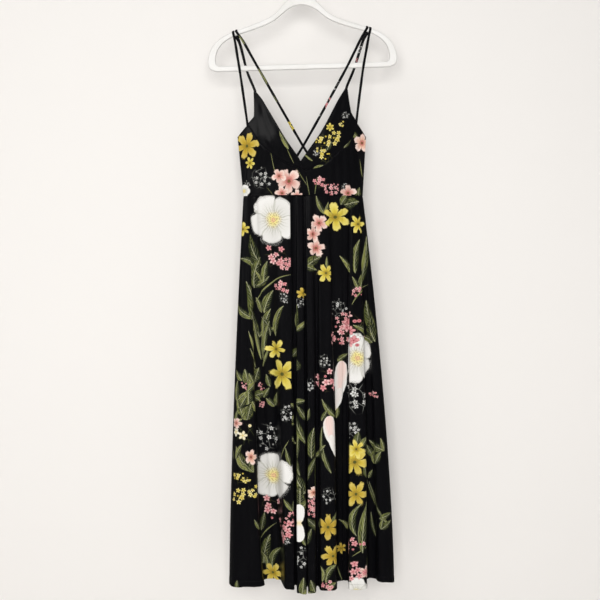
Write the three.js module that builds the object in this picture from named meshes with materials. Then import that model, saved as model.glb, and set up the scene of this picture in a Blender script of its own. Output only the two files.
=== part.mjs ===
// A long sundress with crossed thin straps, hung on a slim moulded clothes hanger.
// Millimetres, +X right, +Z up, the front of the dress towards -Y.
// The origin is the inside top of the hanger's hook, where it rests on a rail or a peg.

import * as THREE from 'three'

// Cloth
const wall = 1.4                 // thickness of every cloth wall
const seamGap = 0.3              // space between two pieces at a seam
const lensPower = 2.4            // how squarely a worn-open tube of cloth turns at its sides

// Skirt
const waistZ = -563.5
const foldRoundness = 0.8        // 0 leaves pointed waves, 1 rounds the crests and steepens the sides
const skirtRows = 12             // rows of faces between the waist and the hem
const skirtSteps = { front: 5, back: 4 }      // faces between the crest and the bottom of a fold
const besideStep = 0.01          // share of a fold over which its run is taken

// Bodice: the left front is lifted between two places across to lie over the right one
const overlap = { lift: 2.2, from: -95, full: -45 }
const bust = { middle: 4, apart: 72, z: -428, rise: 11, wide: 46, high: 52 }
const gatherSpan = { top: -400, fadeFrom: 0.25, fadeTo: 0.85 }
const backDip = 100              // how far the back's top edge dips between the side corners
const bodiceRows = 5             // rows of faces of each bodice piece
const backColumns = 14
const wingColumns = 3            // faces along the top edge of a side corner

// Straps: flat rouleaux, two from the point of each cup
const strapWide = 6.5
const strapThick = 1.8
const strapStep = 14             // longest spacing of the sections along a strap
const strapSides = 6
const sewnLength = 12            // how far a strap's end runs inside the edge that it is sewn to
const wrapAngles = [10, 30, 60, 90, 120, 150, 170]   // of a strap's places over an arm

// Hanger
const hangerTilt = THREE.MathUtils.degToRad(1.6)
const barZ = -247                // middle of the trouser bar below the hook
const barHalf = 6                // half the height of the bar
const armHeight = 24             // a strap lies close to an arm this far down from its top
const hangerDepth = 11
const hangerRound = 3            // rounding of the moulded edges
const hookRod = 3.2
const hookRadius = 23            // centreline of the hook's bend
const neckTop = 188              // top of the hanger's neck above the bar
const hookStem = [[0, 0], [0, 7], [5, 16]]           // from the top of the neck
const hookBends = [-48, -20, 10, 40, 70, 100, 130, 160, 188, 208]
const hookSteps = 26

// Outline of the bodice at the side seams
const sides = [
  { z: -419, left: -152.9, right: 161.5 },
  { z: -436, left: -146, right: 151 },
  { z: -451, left: -139.7, right: 144.5 },
  { z: -465, left: -135, right: 140.4 },
  { z: -480, left: -132.3, right: 140.8 },
  { z: -512, left: -134.8, right: 146 },
  { z: waistZ, left: -138.6, right: 153.6 },
]

// How far the front and the back stand out at the middle, by height
const fullness = [
  { z: -300, front: 12, back: 10 },
  { z: -419, front: 24, back: 18 },
  { z: -480, front: 27, back: 21 },
  { z: waistZ, front: 24, back: 20 },
]

// Edges of the front pieces as [x, z], seen from the front: the left ones belong to the wearer's right.
// Each is listed from the side of the dress to its middle.
// The wrap's edge meets the waist at waistEnd.
const frontEdges = {
  left: {
    wing: [[-152.9, -419], [-141, -405], [-128.4, -391]],
    armhole: [[-128.4, -388.5], [-113, -371.5], [-109.1, -361.7], [-112.4, -329.8], [-113.4, -310]],
    neckline: [
      [-105.6, -311.7], [-93.2, -327.5], [-77.2, -354.4], [-36.4, -425.7], [0, -479.5], [7.6, -500],
    ],
    underCup: [
      [-128.4, -391], [-114.8, -412.7], [-99.7, -436.7], [-74.2, -460], [-48.4, -479.5], [8.5, -503.7],
    ],
    waistEnd: 29.1,
  },
  right: {
    wing: [[161.5, -419], [149.5, -401], [137.9, -383.7]],
    armhole: [[137.4, -381.2], [123.5, -356.9], [119.7, -329.8], [116.3, -303.4]],
    neckline: [
      [109, -303.4], [92.6, -330.9], [50.9, -411], [20.8, -454.1], [2.4, -480.2], [-13.6, -503],
    ],
    underCup: [
      [137.9, -383.7], [133.4, -414.8], [106.5, -446.4], [83.6, -469.9], [53.2, -494], [-14.8, -506.6],
    ],
    waistEnd: -33.9,
  },
}

// Gathers let into the seam below each cup: place at the top, place at the waist, width and rise
const gathers = [
  { topX: 124, waistX: 138, wide: 5, rise: 1.4 },
  { topX: 108, waistX: 118, wide: 5, rise: 1.8 },
  { topX: 92, waistX: 98, wide: 6, rise: 1.6 },
  { topX: 74, waistX: 78, wide: 6, rise: 1.2 },
  { topX: -60, waistX: -66, wide: 7, rise: 1.1 },
  { topX: -84, waistX: -92, wide: 6, rise: 1.4 },
  { topX: -106, waistX: -116, wide: 6, rise: 1.2 },
]

// Folds of the skirt: each row is the crest or the bottom of a fold, at the waist and at the hem.
// The reach says where the fold moves across most: over 1 below the waist, under 1 above the hem.
const frontFolds = [
  { waistX: -138.6, waistY: 0, hemX: -172.7, hemY: 0, hemZ: -1506, reach: 1.5 },
  { waistX: -132, waistY: -4, hemX: -128.2, hemY: -72, hemZ: -1501, reach: 1 },
  { waistX: -117.6, waistY: -8, hemX: -65.6, hemY: -20, hemZ: -1494, reach: 0.75 },
  { waistX: -36.8, waistY: -26, hemX: -23.6, hemY: -84, hemZ: -1501, reach: 0.7 },
  { waistX: -16, waistY: -17, hemX: -6, hemY: -44, hemZ: -1501, reach: 1 },
  { waistX: -5, waistY: -20, hemX: 5.9, hemY: -92, hemZ: -1511, reach: 1.5 },
  { waistX: 3.7, waistY: -16, hemX: 19.2, hemY: -48, hemZ: -1503, reach: 1.5 },
  { waistX: 11, waistY: -21, hemX: 30.5, hemY: -96, hemZ: -1507, reach: 1.5 },
  { waistX: 18.4, waistY: -17, hemX: 43.1, hemY: -50, hemZ: -1500, reach: 1.5 },
  { waistX: 44, waistY: -25, hemX: 64.8, hemY: -88, hemZ: -1503, reach: 1.5 },
  { waistX: 90, waistY: -15.5, hemX: 101.8, hemY: -24, hemZ: -1497, reach: 1.2 },
  { waistX: 138, waistY: -7.5, hemX: 136, hemY: -80, hemZ: -1505, reach: 1 },
  { waistX: 147, waistY: -3.5, hemX: 170.5, hemY: -14, hemZ: -1495, reach: 1.2 },
  { waistX: 151, waistY: -2.2, hemX: 202.4, hemY: -38, hemZ: -1498, reach: 1.5 },
  { waistX: 153.6, waistY: 0, hemX: 230.3, hemY: 0, hemZ: -1506, reach: 1.5 },
]
const backFolds = [
  { waistX: 153.6, waistY: 0, hemX: 230.3, hemY: 0, hemZ: -1506, reach: 1.5 },
  { waistX: 141, waistY: 5, hemX: 198, hemY: 58, hemZ: -1500, reach: 1.5 },
  { waistX: 118, waistY: 10, hemX: 156, hemY: 14, hemZ: -1496, reach: 1.5 },
  { waistX: 86, waistY: 18, hemX: 112, hemY: 78, hemZ: -1502, reach: 1.5 },
  { waistX: 60, waistY: 15, hemX: 74, hemY: 20, hemZ: -1497, reach: 1.5 },
  { waistX: 27, waistY: 21, hemX: 38, hemY: 86, hemZ: -1504, reach: 1.5 },
  { waistX: 0, waistY: 17, hemX: -2, hemY: 22, hemZ: -1498, reach: 1.5 },
  { waistX: -30, waistY: 21, hemX: -40, hemY: 84, hemZ: -1503, reach: 1.5 },
  { waistX: -62, waistY: 14, hemX: -78, hemY: 18, hemZ: -1497, reach: 1.5 },
  { waistX: -98, waistY: 15, hemX: -122, hemY: 66, hemZ: -1501, reach: 1.5 },
  { waistX: -138.6, waistY: 0, hemX: -172.7, hemY: 0, hemZ: -1506, reach: 1.5 },
]

// Edges of the hanger's right half above the middle of its bar, from the neck round to the bar
const hangerOutside = [
  [8, neckTop], [14, 180], [24, 171], [37, 160], [50, 146], [64, 132], [84, 120], [108, 110],
  [150, 95.5], [172, 88], [192, 78.5], [209, 66], [222, 50], [230, 28], [231, 12], [226, 0], [212, -6],
]
const hangerInside = [
  [206, 6], [212, 12], [213, 24], [208, 44], [198, 59], [186, 69], [168, 79], [140, 88],
  [108, 98], [84, 107], [66, 116], [48, 130], [34, 141], [18, 149],
]
const hangerPeak = 152           // inside of the arms at the middle

// Straps: where each lies over an arm, crosses the bar and is sewn to the back
const apexes = { left: [-109.5, -310], right: [112.6, -303.4] }
const straps = {
  strap_left_outer: { apex: apexes.left, arm: -168, bar: -147, back: [-121, -463], under: 0 },
  strap_left_crossed: {
    apex: apexes.left, arm: -160.6, bar: -98.5, back: [52, -522], under: 2.4, meet: 9,
  },
  strap_right_outer: { apex: apexes.right, arm: 167.6, bar: 154.4, back: [131, -463], under: 0 },
  strap_right_crossed: {
    apex: apexes.right, arm: 160.2, bar: 113, back: [-36, -522], under: 2.4, meet: 12.6,
  },
}
const crossing = [7.4, -439.4]
const overArm = { rise: 5.2, square: 0.75 }   // how a strap rounds the top of an arm
const barRoom = 2                // how far below the bar a strap leaves it

const mix = (a, b, share) => a + (b - a) * share
const clamp01 = (value) => Math.min(1, Math.max(0, value))
const smooth = (from, to, value) => {
  const share = clamp01((value - from) / (to - from))
  return share * share * (3 - 2 * share)
}
const bump = (distance, wide) => Math.exp(-((distance / wide) ** 2))
const grow = (count, make) => Array.from({ length: count }, (_, i) => make(i))

// Reads one named column of a table whose rows go down in height
function atHeight(table, column, z) {
  const next = table.findIndex((row) => row.z <= z)
  if (next === 0) return table[0][column]
  if (next < 0) return table[table.length - 1][column]
  const [above, below] = [table[next - 1], table[next]]
  return mix(above[column], below[column], (z - above.z) / (below.z - above.z))
}

// Faces of a closed mesh turned so that they point out
function closedGeometry(positions, indices) {
  let volume = 0
  const corner = (i) => new THREE.Vector3().fromArray(positions, 3 * i)
  for (let i = 0; i < indices.length; i += 3) {
    const [a, b, c] = [corner(indices[i]), corner(indices[i + 1]), corner(indices[i + 2])]
    volume += a.dot(b.cross(c))
  }
  const geometry = new THREE.BufferGeometry()
  geometry.setAttribute('position', new THREE.Float32BufferAttribute(positions, 3))
  geometry.setIndex(volume > 0 ? indices : indices.slice().reverse())
  geometry.computeVertexNormals()
  return geometry
}

// A wall of cloth between two like grids of points, closed along its four edges
function wallBetween(outer, inner) {
  const [rows, columns] = [outer.length, outer[0].length]
  const positions = [outer, inner].flat(3)
  const at = (side, row, column) => side * rows * columns + row * columns + column
  const indices = []
  const quad = (a, b, c, d) => indices.push(a, b, c, a, c, d)
  for (let r = 0; r < rows - 1; r++) {
    for (let c = 0; c < columns - 1; c++) {
      quad(at(0, r, c), at(0, r, c + 1), at(0, r + 1, c + 1), at(0, r + 1, c))
      quad(at(1, r + 1, c), at(1, r + 1, c + 1), at(1, r, c + 1), at(1, r, c))
    }
    quad(at(0, r, 0), at(0, r + 1, 0), at(1, r + 1, 0), at(1, r, 0))
    quad(at(1, r, columns - 1), at(1, r + 1, columns - 1), at(0, r + 1, columns - 1), at(0, r, columns - 1))
  }
  for (let c = 0; c < columns - 1; c++) {
    quad(at(1, 0, c), at(1, 0, c + 1), at(0, 0, c + 1), at(0, 0, c))
    quad(at(0, rows - 1, c), at(0, rows - 1, c + 1), at(1, rows - 1, c + 1), at(1, rows - 1, c))
  }
  return closedGeometry(positions, indices)
}

// Points at even spacing along a smooth edge given as [x, z] pairs
function alongEdge(edge, count) {
  const points = edge.map(([x, z]) => new THREE.Vector3(x, 0, z))
  const curve = new THREE.CatmullRomCurve3(points, false, 'centripetal')
  return curve.getSpacedPoints(count).map((point) => [point.x, point.z])
}

// Outside face of the front, and inside face of the back, of the bodice at a place seen from the front
function acrossBodice(x, z, column) {
  const [left, right] = [atHeight(sides, 'left', z), atHeight(sides, 'right', z)]
  const across = clamp01(Math.abs(2 * x - left - right) / (right - left))
  return atHeight(fullness, column, z) * (1 - across ** lensPower)
}

function gatherRise(x, z) {
  const down = clamp01((gatherSpan.top - z) / (gatherSpan.top - waistZ))
  const fade = Math.sin(Math.PI * mix(gatherSpan.fadeFrom, gatherSpan.fadeTo, down))
  const rises = gathers.map((row) => row.rise * bump(x - mix(row.topX, row.waistX, down), row.wide))
  return fade * rises.reduce((sum, rise) => sum + rise, 0)
}

function frontFace(x, z, gathered) {
  const besideCup = Math.abs(x - bust.middle) - bust.apart
  const cups = bust.rise * bump(besideCup, bust.wide) * bump(z - bust.z, bust.high)
  const rise = acrossBodice(x, z, 'front') + cups + (gathered ? gatherRise(x, z) : 0)
  return -seamGap / 2 - wall - rise
}

const backInside = (x, z) => seamGap / 2 + acrossBodice(x, z, 'back')

// A front piece between a top edge and a bottom edge with as many points each
function frontPiece(top, bottom, side, gathered) {
  const point = (column, down, depth) => {
    const [x, z] = [0, 1].map((i) => mix(top[column][i], bottom[column][i], down))
    const lift = side === 'left' ? overlap.lift * smooth(overlap.from, overlap.full, x) : 0
    return [x, frontFace(x, z, gathered) - lift + depth, z]
  }
  const grid = (depth) => grow(bodiceRows + 1, (r) => (
    grow(top.length, (c) => point(c, r / bodiceRows, depth))
  ))
  return wallBetween(grid(0), grid(wall))
}

// Points moved sideways off a line that runs through them, towards +Z of a line that runs to +X
function besideLine(points, distance) {
  return points.map(([x, z], i) => {
    const [before, after] = [points[Math.max(0, i - 1)], points[Math.min(points.length - 1, i + 1)]]
    const [runX, runZ] = [after[0] - before[0], after[1] - before[1]]
    const length = Math.hypot(runX, runZ)
    return [x - runZ / length * distance, z + runX / length * distance]
  })
}

// Columns of a cup along its armhole and its neckline, with one more between them at its point
const cupColumns = { armhole: 4, neckline: 14 }

function seamUnderCup(side) {
  return alongEdge(frontEdges[side].underCup, cupColumns.armhole + 1 + cupColumns.neckline)
}

function cup(side) {
  const edges = frontEdges[side]
  const top = [
    ...alongEdge(edges.armhole, cupColumns.armhole),
    ...alongEdge(edges.neckline, cupColumns.neckline),
  ]
  const clear = side === 'left' ? seamGap / 2 : -seamGap / 2
  return frontPiece(top, besideLine(seamUnderCup(side), clear), side, false)
}

function midriff(side) {
  const edges = frontEdges[side]
  const clear = side === 'left' ? -seamGap / 2 : seamGap / 2
  const top = [
    ...alongEdge(edges.wing, wingColumns).slice(0, -1),
    ...besideLine(seamUnderCup(side), clear),
  ]
  const waistStart = atHeight(sides, side, waistZ)
  const [topStart, topEnd] = [top[0][0], top[top.length - 1][0]]
  const bottom = top.map(([x]) => {
    const share = (x - topStart) / (topEnd - topStart)
    return [mix(waistStart, edges.waistEnd, share), waistZ]
  })
  return frontPiece(top, bottom, side, true)
}

function backBodice() {
  const point = (share, down, depth) => {
    const topZ = sides[0].z - backDip * (1 - (2 * share - 1) ** 2)
    const z = mix(topZ, waistZ, down)
    const x = mix(atHeight(sides, 'left', z), atHeight(sides, 'right', z), share)
    return [x, backInside(x, z) + depth, z]
  }
  const grid = (depth) => grow(bodiceRows + 1, (r) => (
    grow(backColumns + 1, (c) => point(c / backColumns, r / bodiceRows, depth))
  ))
  return wallBetween(grid(wall), grid(0))
}

// A point of the skirt's outside: place counts along the folds, down runs from the waist to the hem.
// The first and the last row turn a quarter round at the side seams.
function skirtPoint(folds, place, down) {
  const last = folds.length - 1
  const row = Math.min(Math.floor(place), last - 1)
  const share = place - row
  const [from, to] = [folds[row], folds[row + 1]].map((fold) => ({
    x: mix(fold.waistX, fold.hemX, 1 - (1 - down) ** fold.reach),
    y: mix(fold.waistY, fold.hemY, down),
    z: mix(waistZ - seamGap, fold.hemZ, down),
  }))
  const ease = (1 - Math.cos(Math.PI * share)) / 2
  const [rising, falling] = [Math.sin(Math.PI / 2 * share), 1 - Math.cos(Math.PI / 2 * share)]
  const rounded = share + foldRoundness * Math.sin(2 * Math.PI * share) / (2 * Math.PI)
  let [shareX, shareY] = [rounded, ease]
  if (row === 0) [shareX, shareY] = [falling, rising]
  if (row === last - 1) [shareX, shareY] = [rising, falling]
  return [mix(from.x, to.x, shareX), mix(from.y, to.y, shareY), mix(from.z, to.z, ease)]
}

function skirtPanel(folds, steps, side) {
  const last = folds.length - 1
  const clear = side * seamGap / 2
  const point = (place, down, depth) => {
    const [x, y, z] = skirtPoint(folds, place, down)
    const before = skirtPoint(folds, Math.max(0, place - besideStep), down)
    const after = skirtPoint(folds, Math.min(last, place + besideStep), down)
    const run = new THREE.Vector2(after[0] - before[0], after[1] - before[1]).normalize()
    return [x - run.y * depth, y + run.x * depth + clear, z]
  }
  const grid = (depth) => grow(skirtRows + 1, (r) => (
    grow(last * steps + 1, (c) => point(c / steps, r / skirtRows, depth))
  ))
  return wallBetween(grid(0), grid(wall))
}

// Hanger: a moulded ring of two arms and a bar, with the hook on its neck
function tilted(x, z) {
  const [along, up] = [Math.cos(hangerTilt), Math.sin(hangerTilt)]
  return [x * along - z * up, x * up + z * along]
}

// Both halves of an edge of the hanger, in order round it
function bothHalves(half) {
  const right = half.map(([x, z]) => new THREE.Vector2(x, z + barZ))
  const left = half.map(([x, z]) => new THREE.Vector2(-x, z + barZ)).reverse()
  return { right, left }
}

function hangerFrame() {
  const outside = bothHalves(hangerOutside)
  const outline = new THREE.Shape()
  outline.moveTo(outside.right[0].x, outside.right[0].y)
  outline.splineThru(outside.right.slice(1))
  outline.lineTo(outside.left[0].x, outside.left[0].y)
  outline.splineThru(outside.left.slice(1))
  outline.closePath()
  const inside = bothHalves(hangerInside)
  const opening = new THREE.Path()
  opening.moveTo(inside.right[0].x, inside.right[0].y)
  opening.splineThru([...inside.right.slice(1), new THREE.Vector2(0, hangerPeak + barZ), ...inside.left])
  opening.closePath()
  outline.holes.push(opening)
  const geometry = new THREE.ExtrudeGeometry(outline, {
    depth: hangerDepth - 2 * hangerRound, curveSegments: 2, bevelSegments: 2,
    bevelThickness: hangerRound, bevelSize: hangerRound, bevelOffset: -hangerRound,
  })
  geometry.translate(0, 0, -(hangerDepth / 2 - hangerRound))
  return geometry.rotateX(Math.PI / 2).rotateY(-hangerTilt)
}

function hangerHook() {
  const bend = (degrees) => {
    const turn = THREE.MathUtils.degToRad(degrees)
    return [hookRadius * Math.cos(turn), hookRod - hookRadius + hookRadius * Math.sin(turn)]
  }
  const stem = hookStem.map(([x, up]) => [x, neckTop + barZ + seamGap + up])
  const route = [...stem, ...hookBends.map(bend)].map(([x, z]) => new THREE.Vector3(x, 0, z))
  const path = new THREE.CatmullRomCurve3(route, false, 'centripetal')
  const section = new THREE.Shape()
  section.absarc(0, 0, hookRod, 0, 2 * Math.PI, false)
  const sweep = { steps: hookSteps, curveSegments: 4, extrudePath: path, bevelEnabled: false }
  return new THREE.ExtrudeGeometry(section, sweep).rotateY(-hangerTilt)
}

// Height and slope of the top of an arm at a distance from the hanger's middle
function armTop(x) {
  const next = hangerOutside.findIndex(([armX]) => armX >= Math.abs(x))
  const [[fromX, fromZ], [toX, toZ]] = [hangerOutside[next - 1], hangerOutside[next]]
  const slope = Math.atan2(toZ - fromZ, toX - fromX)
  return { z: barZ + mix(fromZ, toZ, (Math.abs(x) - fromX) / (toX - fromX)), slope: Math.sign(x) * slope }
}

// Change of a face's depth for each millimetre across, which a strap sewn to it follows
const slopeAcross = (face, x, z) => (face(x + 1, z) - face(x - 1, z)) / 2

// Rows of a strap's route: the middle of the strap, and the depth and height that its width gains across
function strapRoute({ apex, arm, bar, back, under, meet }) {
  const half = strapThick / 2
  const clear = hangerDepth / 2 + seamGap + half
  const top = armTop(arm)
  const lean = Math.tan(top.slope + hangerTilt)
  const [armX, armZ] = tilted(arm, top.z)
  const barUnder = (x) => barZ + x * Math.sin(hangerTilt) - barHalf - barRoom
  const sewnToCup = (x, z) => {
    const y = frontFace(x, z, false) + wall + seamGap + half + under
    return { x, y, z, wideY: slopeAcross(frontFace, x, z), wideZ: 0 }
  }
  const free = (x, y, z, wideZ = 0) => ({ x, y, z, wideY: 0, wideZ })
  const [apexX, apexZ] = apex
  const stretchX = (z) => mix(apexX, armX, (z - apexZ) / (armZ - apexZ))
  const route = [
    sewnToCup(apexX, apexZ - sewnLength),
    sewnToCup(apexX, apexZ),
    free(stretchX(barZ), clear + under, barUnder(apexX)),
    free(stretchX(armZ - armHeight), clear + under, armZ - armHeight, lean),
  ]
  for (const degrees of wrapAngles) {
    const turn = THREE.MathUtils.degToRad(degrees)
    const [out, up] = [Math.cos(turn), Math.sin(turn)]
    const [y, z] = [Math.sign(out) * Math.abs(out) ** overArm.square, up ** overArm.square]
    route.push(free(armX, clear * y, armZ - hangerRound + overArm.rise * z, lean))
  }
  const [frontX, frontZ] = [mix(armX, bar, armHeight / (armZ - barZ)), armZ - armHeight]
  route.push(free(frontX, -clear, frontZ), free(bar, -clear, barUnder(bar)))
  if (meet) route.push(free(crossing[0], meet, crossing[1]))
  const [backX, backZ] = back
  const wideY = slopeAcross(backInside, backX, backZ)
  for (const z of [backZ + sewnLength, backZ]) {
    route.push({ x: backX, y: backInside(backX, z) - seamGap - half, z, wideY, wideZ: 0 })
  }
  return route
}

function strap(settings) {
  const route = strapRoute(settings)
  const middles = route.map(({ x, y, z }) => new THREE.Vector3(x, y, z))
  const curve = new THREE.CatmullRomCurve3(middles, false, 'centripetal')
  const flatSide = Math.cos(Math.PI / strapSides)
  const section = grow(strapSides, (i) => {
    const turn = (i + 0.5) / strapSides * 2 * Math.PI
    return [Math.cos(turn) / flatSide * strapWide / 2, Math.sin(turn) * strapThick / 2]
  })
  const stations = [0]
  for (let row = 1; row < route.length; row++) {
    const steps = Math.ceil(middles[row].distanceTo(middles[row - 1]) / strapStep)
    for (let step = 1; step <= steps; step++) stations.push(row - 1 + step / steps)
  }
  const positions = []
  for (const station of stations) {
    const row = Math.min(Math.floor(station), route.length - 2)
    const [from, to] = [route[row], route[row + 1]]
    const [wideY, wideZ] = ['wideY', 'wideZ'].map((key) => mix(from[key], to[key], station - row))
    const along = curve.getTangent(station / (route.length - 1))
    const wide = new THREE.Vector3(1, wideY, wideZ)
    wide.addScaledVector(along, -wide.dot(along)).normalize()
    const thick = new THREE.Vector3().crossVectors(along, wide)
    const middle = curve.getPoint(station / (route.length - 1))
    for (const [w, t] of section) {
      positions.push(...middle.clone().addScaledVector(wide, w).addScaledVector(thick, t).toArray())
    }
  }
  const indices = []
  const count = stations.length - 1
  for (let i = 0; i < count; i++) {
    for (let k = 0; k < strapSides; k++) {
      const [a, b] = [strapSides * i + k, strapSides * i + (k + 1) % strapSides]
      indices.push(a, b, b + strapSides, a, b + strapSides, a + strapSides)
    }
  }
  const end = strapSides * count
  for (let k = 1; k < strapSides - 1; k++) indices.push(0, k + 1, k, end, end + k, end + k + 1)
  return closedGeometry(positions, indices)
}

const satin = new THREE.MeshStandardMaterial({ color: 0x17161b, roughness: 0.45, metalness: 0 })
const plastic = new THREE.MeshStandardMaterial({ color: 0xf2f1ee, roughness: 0.35, metalness: 0 })

const group = new THREE.Group()
function add(name, geometry, material) {
  const mesh = new THREE.Mesh(geometry, material)
  mesh.name = name
  group.add(mesh)
}

for (const side of ['left', 'right']) {
  add(`cup_${side}`, cup(side), satin)
  add(`midriff_${side}`, midriff(side), satin)
}
add('bodice_back', backBodice(), satin)
add('skirt_front', skirtPanel(frontFolds, skirtSteps.front, -1), satin)
add('skirt_back', skirtPanel(backFolds, skirtSteps.back, 1), satin)
for (const [name, settings] of Object.entries(straps)) add(name, strap(settings), satin)
add('hanger_frame', hangerFrame(), plastic)
add('hanger_hook', hangerHook(), plastic)

export default group
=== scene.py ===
import math

import bmesh
import bpy
import numpy as np
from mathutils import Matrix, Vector


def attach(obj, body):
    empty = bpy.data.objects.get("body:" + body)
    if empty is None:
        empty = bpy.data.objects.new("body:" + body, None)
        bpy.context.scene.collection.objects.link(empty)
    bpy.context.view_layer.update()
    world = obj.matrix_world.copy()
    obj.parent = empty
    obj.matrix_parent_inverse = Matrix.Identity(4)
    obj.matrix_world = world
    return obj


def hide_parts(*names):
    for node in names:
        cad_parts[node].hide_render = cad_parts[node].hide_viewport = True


# A long printed satin sundress on a white moulded hanger. Sizes are in millimetres until a mesh is made.
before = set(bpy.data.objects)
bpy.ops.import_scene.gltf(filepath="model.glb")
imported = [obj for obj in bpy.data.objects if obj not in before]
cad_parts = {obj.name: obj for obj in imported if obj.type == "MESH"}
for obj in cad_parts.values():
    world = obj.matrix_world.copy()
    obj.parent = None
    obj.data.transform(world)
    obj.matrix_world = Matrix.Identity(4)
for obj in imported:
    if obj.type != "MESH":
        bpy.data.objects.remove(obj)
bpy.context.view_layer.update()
scene = bpy.context.scene
mm = 0.001
print("frame loaded")

# Camera: straight in front, at the middle of the hanging dress
view = {"distance": 2300, "height": -818, "fieldDegrees": 35.44}


def makeCamera():
    data = bpy.data.cameras.new("front_camera")
    data.sensor_width = 36
    data.lens = 18 / math.tan(math.radians(view["fieldDegrees"] / 2))
    camera = bpy.data.objects.new("front_camera", data)
    camera.location = (0, -view["distance"] * mm, view["height"] * mm)
    camera.rotation_euler = (math.pi / 2, 0, 0)
    scene.collection.objects.link(camera)
    scene.camera = camera


makeCamera()


# Small sums used all over
def mix(a, b, share):
    return a + (b - a) * share


def smooth(low, high, value):
    share = np.clip((value - low) / (high - low), 0, 1)
    return share * share * (3 - 2 * share)


def bump(distance, wide):
    return np.exp(-((distance / wide) ** 2))


# A smooth line through points, as many places on it as asked, at even spacing or at given stations
def splinePoints(points, stations):
    p = np.asarray(points, float)
    p = np.vstack([2 * p[0] - p[1], p, 2 * p[-1] - p[-2]])
    step = np.maximum(np.linalg.norm(np.diff(p, axis=0), axis=1) ** 0.5, 1e-4)
    stations = np.asarray(stations, float)
    span = np.minimum(stations.astype(int), len(p) - 4)
    t = (stations - span)[:, None]
    before, at, after, beyond = (p[span + i] for i in range(4))
    d0, d1, d2 = (step[span + i][:, None] for i in range(3))
    slopeA = ((at - before) / d0 - (after - before) / (d0 + d1) + (after - at) / d1) * d1
    slopeB = ((after - at) / d1 - (beyond - at) / (d1 + d2) + (beyond - after) / d2) * d1
    cubic = 2 * at - 2 * after + slopeA + slopeB
    square = -3 * at + 3 * after - 2 * slopeA - slopeB
    return at + slopeA * t + square * t**2 + cubic * t**3


# Length run so far at each point of a line, or along the rows (axis 1) or columns (axis 0) of a grid
def lineRun(points):
    return np.r_[0, np.cumsum(np.linalg.norm(np.diff(points, axis=0), axis=1))]


def gridRun(grid, axis):
    run = np.cumsum(np.linalg.norm(np.diff(grid, axis=axis), axis=2), axis=axis)
    return np.insert(run, 0, 0, axis=axis)


def evenPoints(points, count, fineness=60):
    fine = splinePoints(points, np.linspace(0, len(points) - 1, fineness * len(points)))
    run = lineRun(fine)
    wanted = np.linspace(0, run[-1], count + 1)
    return np.stack([np.interp(wanted, run, column) for column in fine.T], 1)


def unit(vectors):
    return vectors / np.maximum(np.linalg.norm(vectors, axis=-1, keepdims=True), 1e-9)


def gridNormals(grid):
    return unit(np.cross(np.gradient(grid, axis=0), np.gradient(grid, axis=1)))


# A crease is a soft trough or ridge along a short line, seen from the front: (x, z) to (x, z), width and rise
def creaseRise(creases, x, z):
    rise = np.zeros_like(x)
    for fromX, fromZ, toX, toZ, wide, height in creases:
        runX, runZ = toX - fromX, toZ - fromZ
        length = math.hypot(runX, runZ)
        along = ((x - fromX) * runX + (z - fromZ) * runZ) / length**2
        beside = ((x - fromX) * runZ - (z - fromZ) * runX) / length
        fade = smooth(-0.1, 0.3, along) * (1 - smooth(0.65, 1.1, along))
        rise = rise + height * fade * bump(beside, wide)
    return rise


# Slow uneven waves of a cloth that was never pressed quite flat
def unevenness(x, z, waves):
    rise = np.zeros_like(x)
    for acrossLength, downLength, phase, height in waves:
        rise = rise + height * np.sin(2 * np.pi * (x / acrossLength + z / downLength) + phase)
    return rise


# Cloth sizes shared by all pieces
cloth = {"wall": 0.8, "cadWall": 1.4, "seamGap": 0.3, "sideGap": 0.04, "lensPower": 2.4, "waistZ": -563.5}

# Outline of the bodice at the side seams: height, left, right
sides = np.array([
    (-419, -152.9, 161.5), (-436, -146, 151), (-451, -139.7, 144.5), (-465, -135, 140.4),
    (-480, -132.3, 140.8), (-512, -134.8, 146), (-563.5, -138.6, 153.6),
])
# How far the front and the back stand out at the middle: height, front, back
fullness = np.array([(-300, 12, 10), (-419, 24, 18), (-480, 27, 21), (-563.5, 24, 20)])
bust = {"middle": 4, "apart": 72, "z": -428, "rise": 11, "wide": 46, "high": 52}
overlap = {"lift": 2.2, "start": -95, "full": -45}


def atHeight(table, column, z):
    return np.interp(-z, -table[:, 0], table[:, column])


def acrossBodice(x, z, column):
    left, right = atHeight(sides, 1, z), atHeight(sides, 2, z)
    across = np.clip(np.abs(2 * x - left - right) / (right - left), 0, 1)
    return atHeight(fullness, column, z) * (1 - across ** cloth["lensPower"])


def frontFace(x, z):
    besideCup = np.abs(x - bust["middle"]) - bust["apart"]
    cups = bust["rise"] * bump(besideCup, bust["wide"]) * bump(z - bust["z"], bust["high"])
    return -cloth["seamGap"] / 2 - cloth["cadWall"] - acrossBodice(x, z, 1) - cups


def backInside(x, z):
    return cloth["seamGap"] / 2 + acrossBodice(x, z, 2)


# The print: each piece keeps a list of motifs, and each motif's own small coordinates go on the faces
# under it, layer by layer, so that no two motifs of a layer meet on one face.
printLayers = {}
layerOrder = ["spray", "leaf", "petal", "rose", "orchid", "lily", "cream", "gold", "pink"]
leafLike = ["leaf", "petal"]
stamping = {
    "levels": 12, "edge": 1.04, "facing": -0.12, "reach": 2.5, "near": 0.6, "leastSqueeze": 0.4,
    "squeezePower": 0.7, "bendAt": 0.4,
}


# Where the camera, or its like behind the dress, sees points: x and z on the plane through the hanger
def seenPlaces(points, side):
    nearness = view["distance"] / (view["distance"] + side * points[..., 1])
    seenZ = view["height"] + (points[..., 2] - view["height"]) * nearness
    return points[..., 0] * nearness, seenZ


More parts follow.
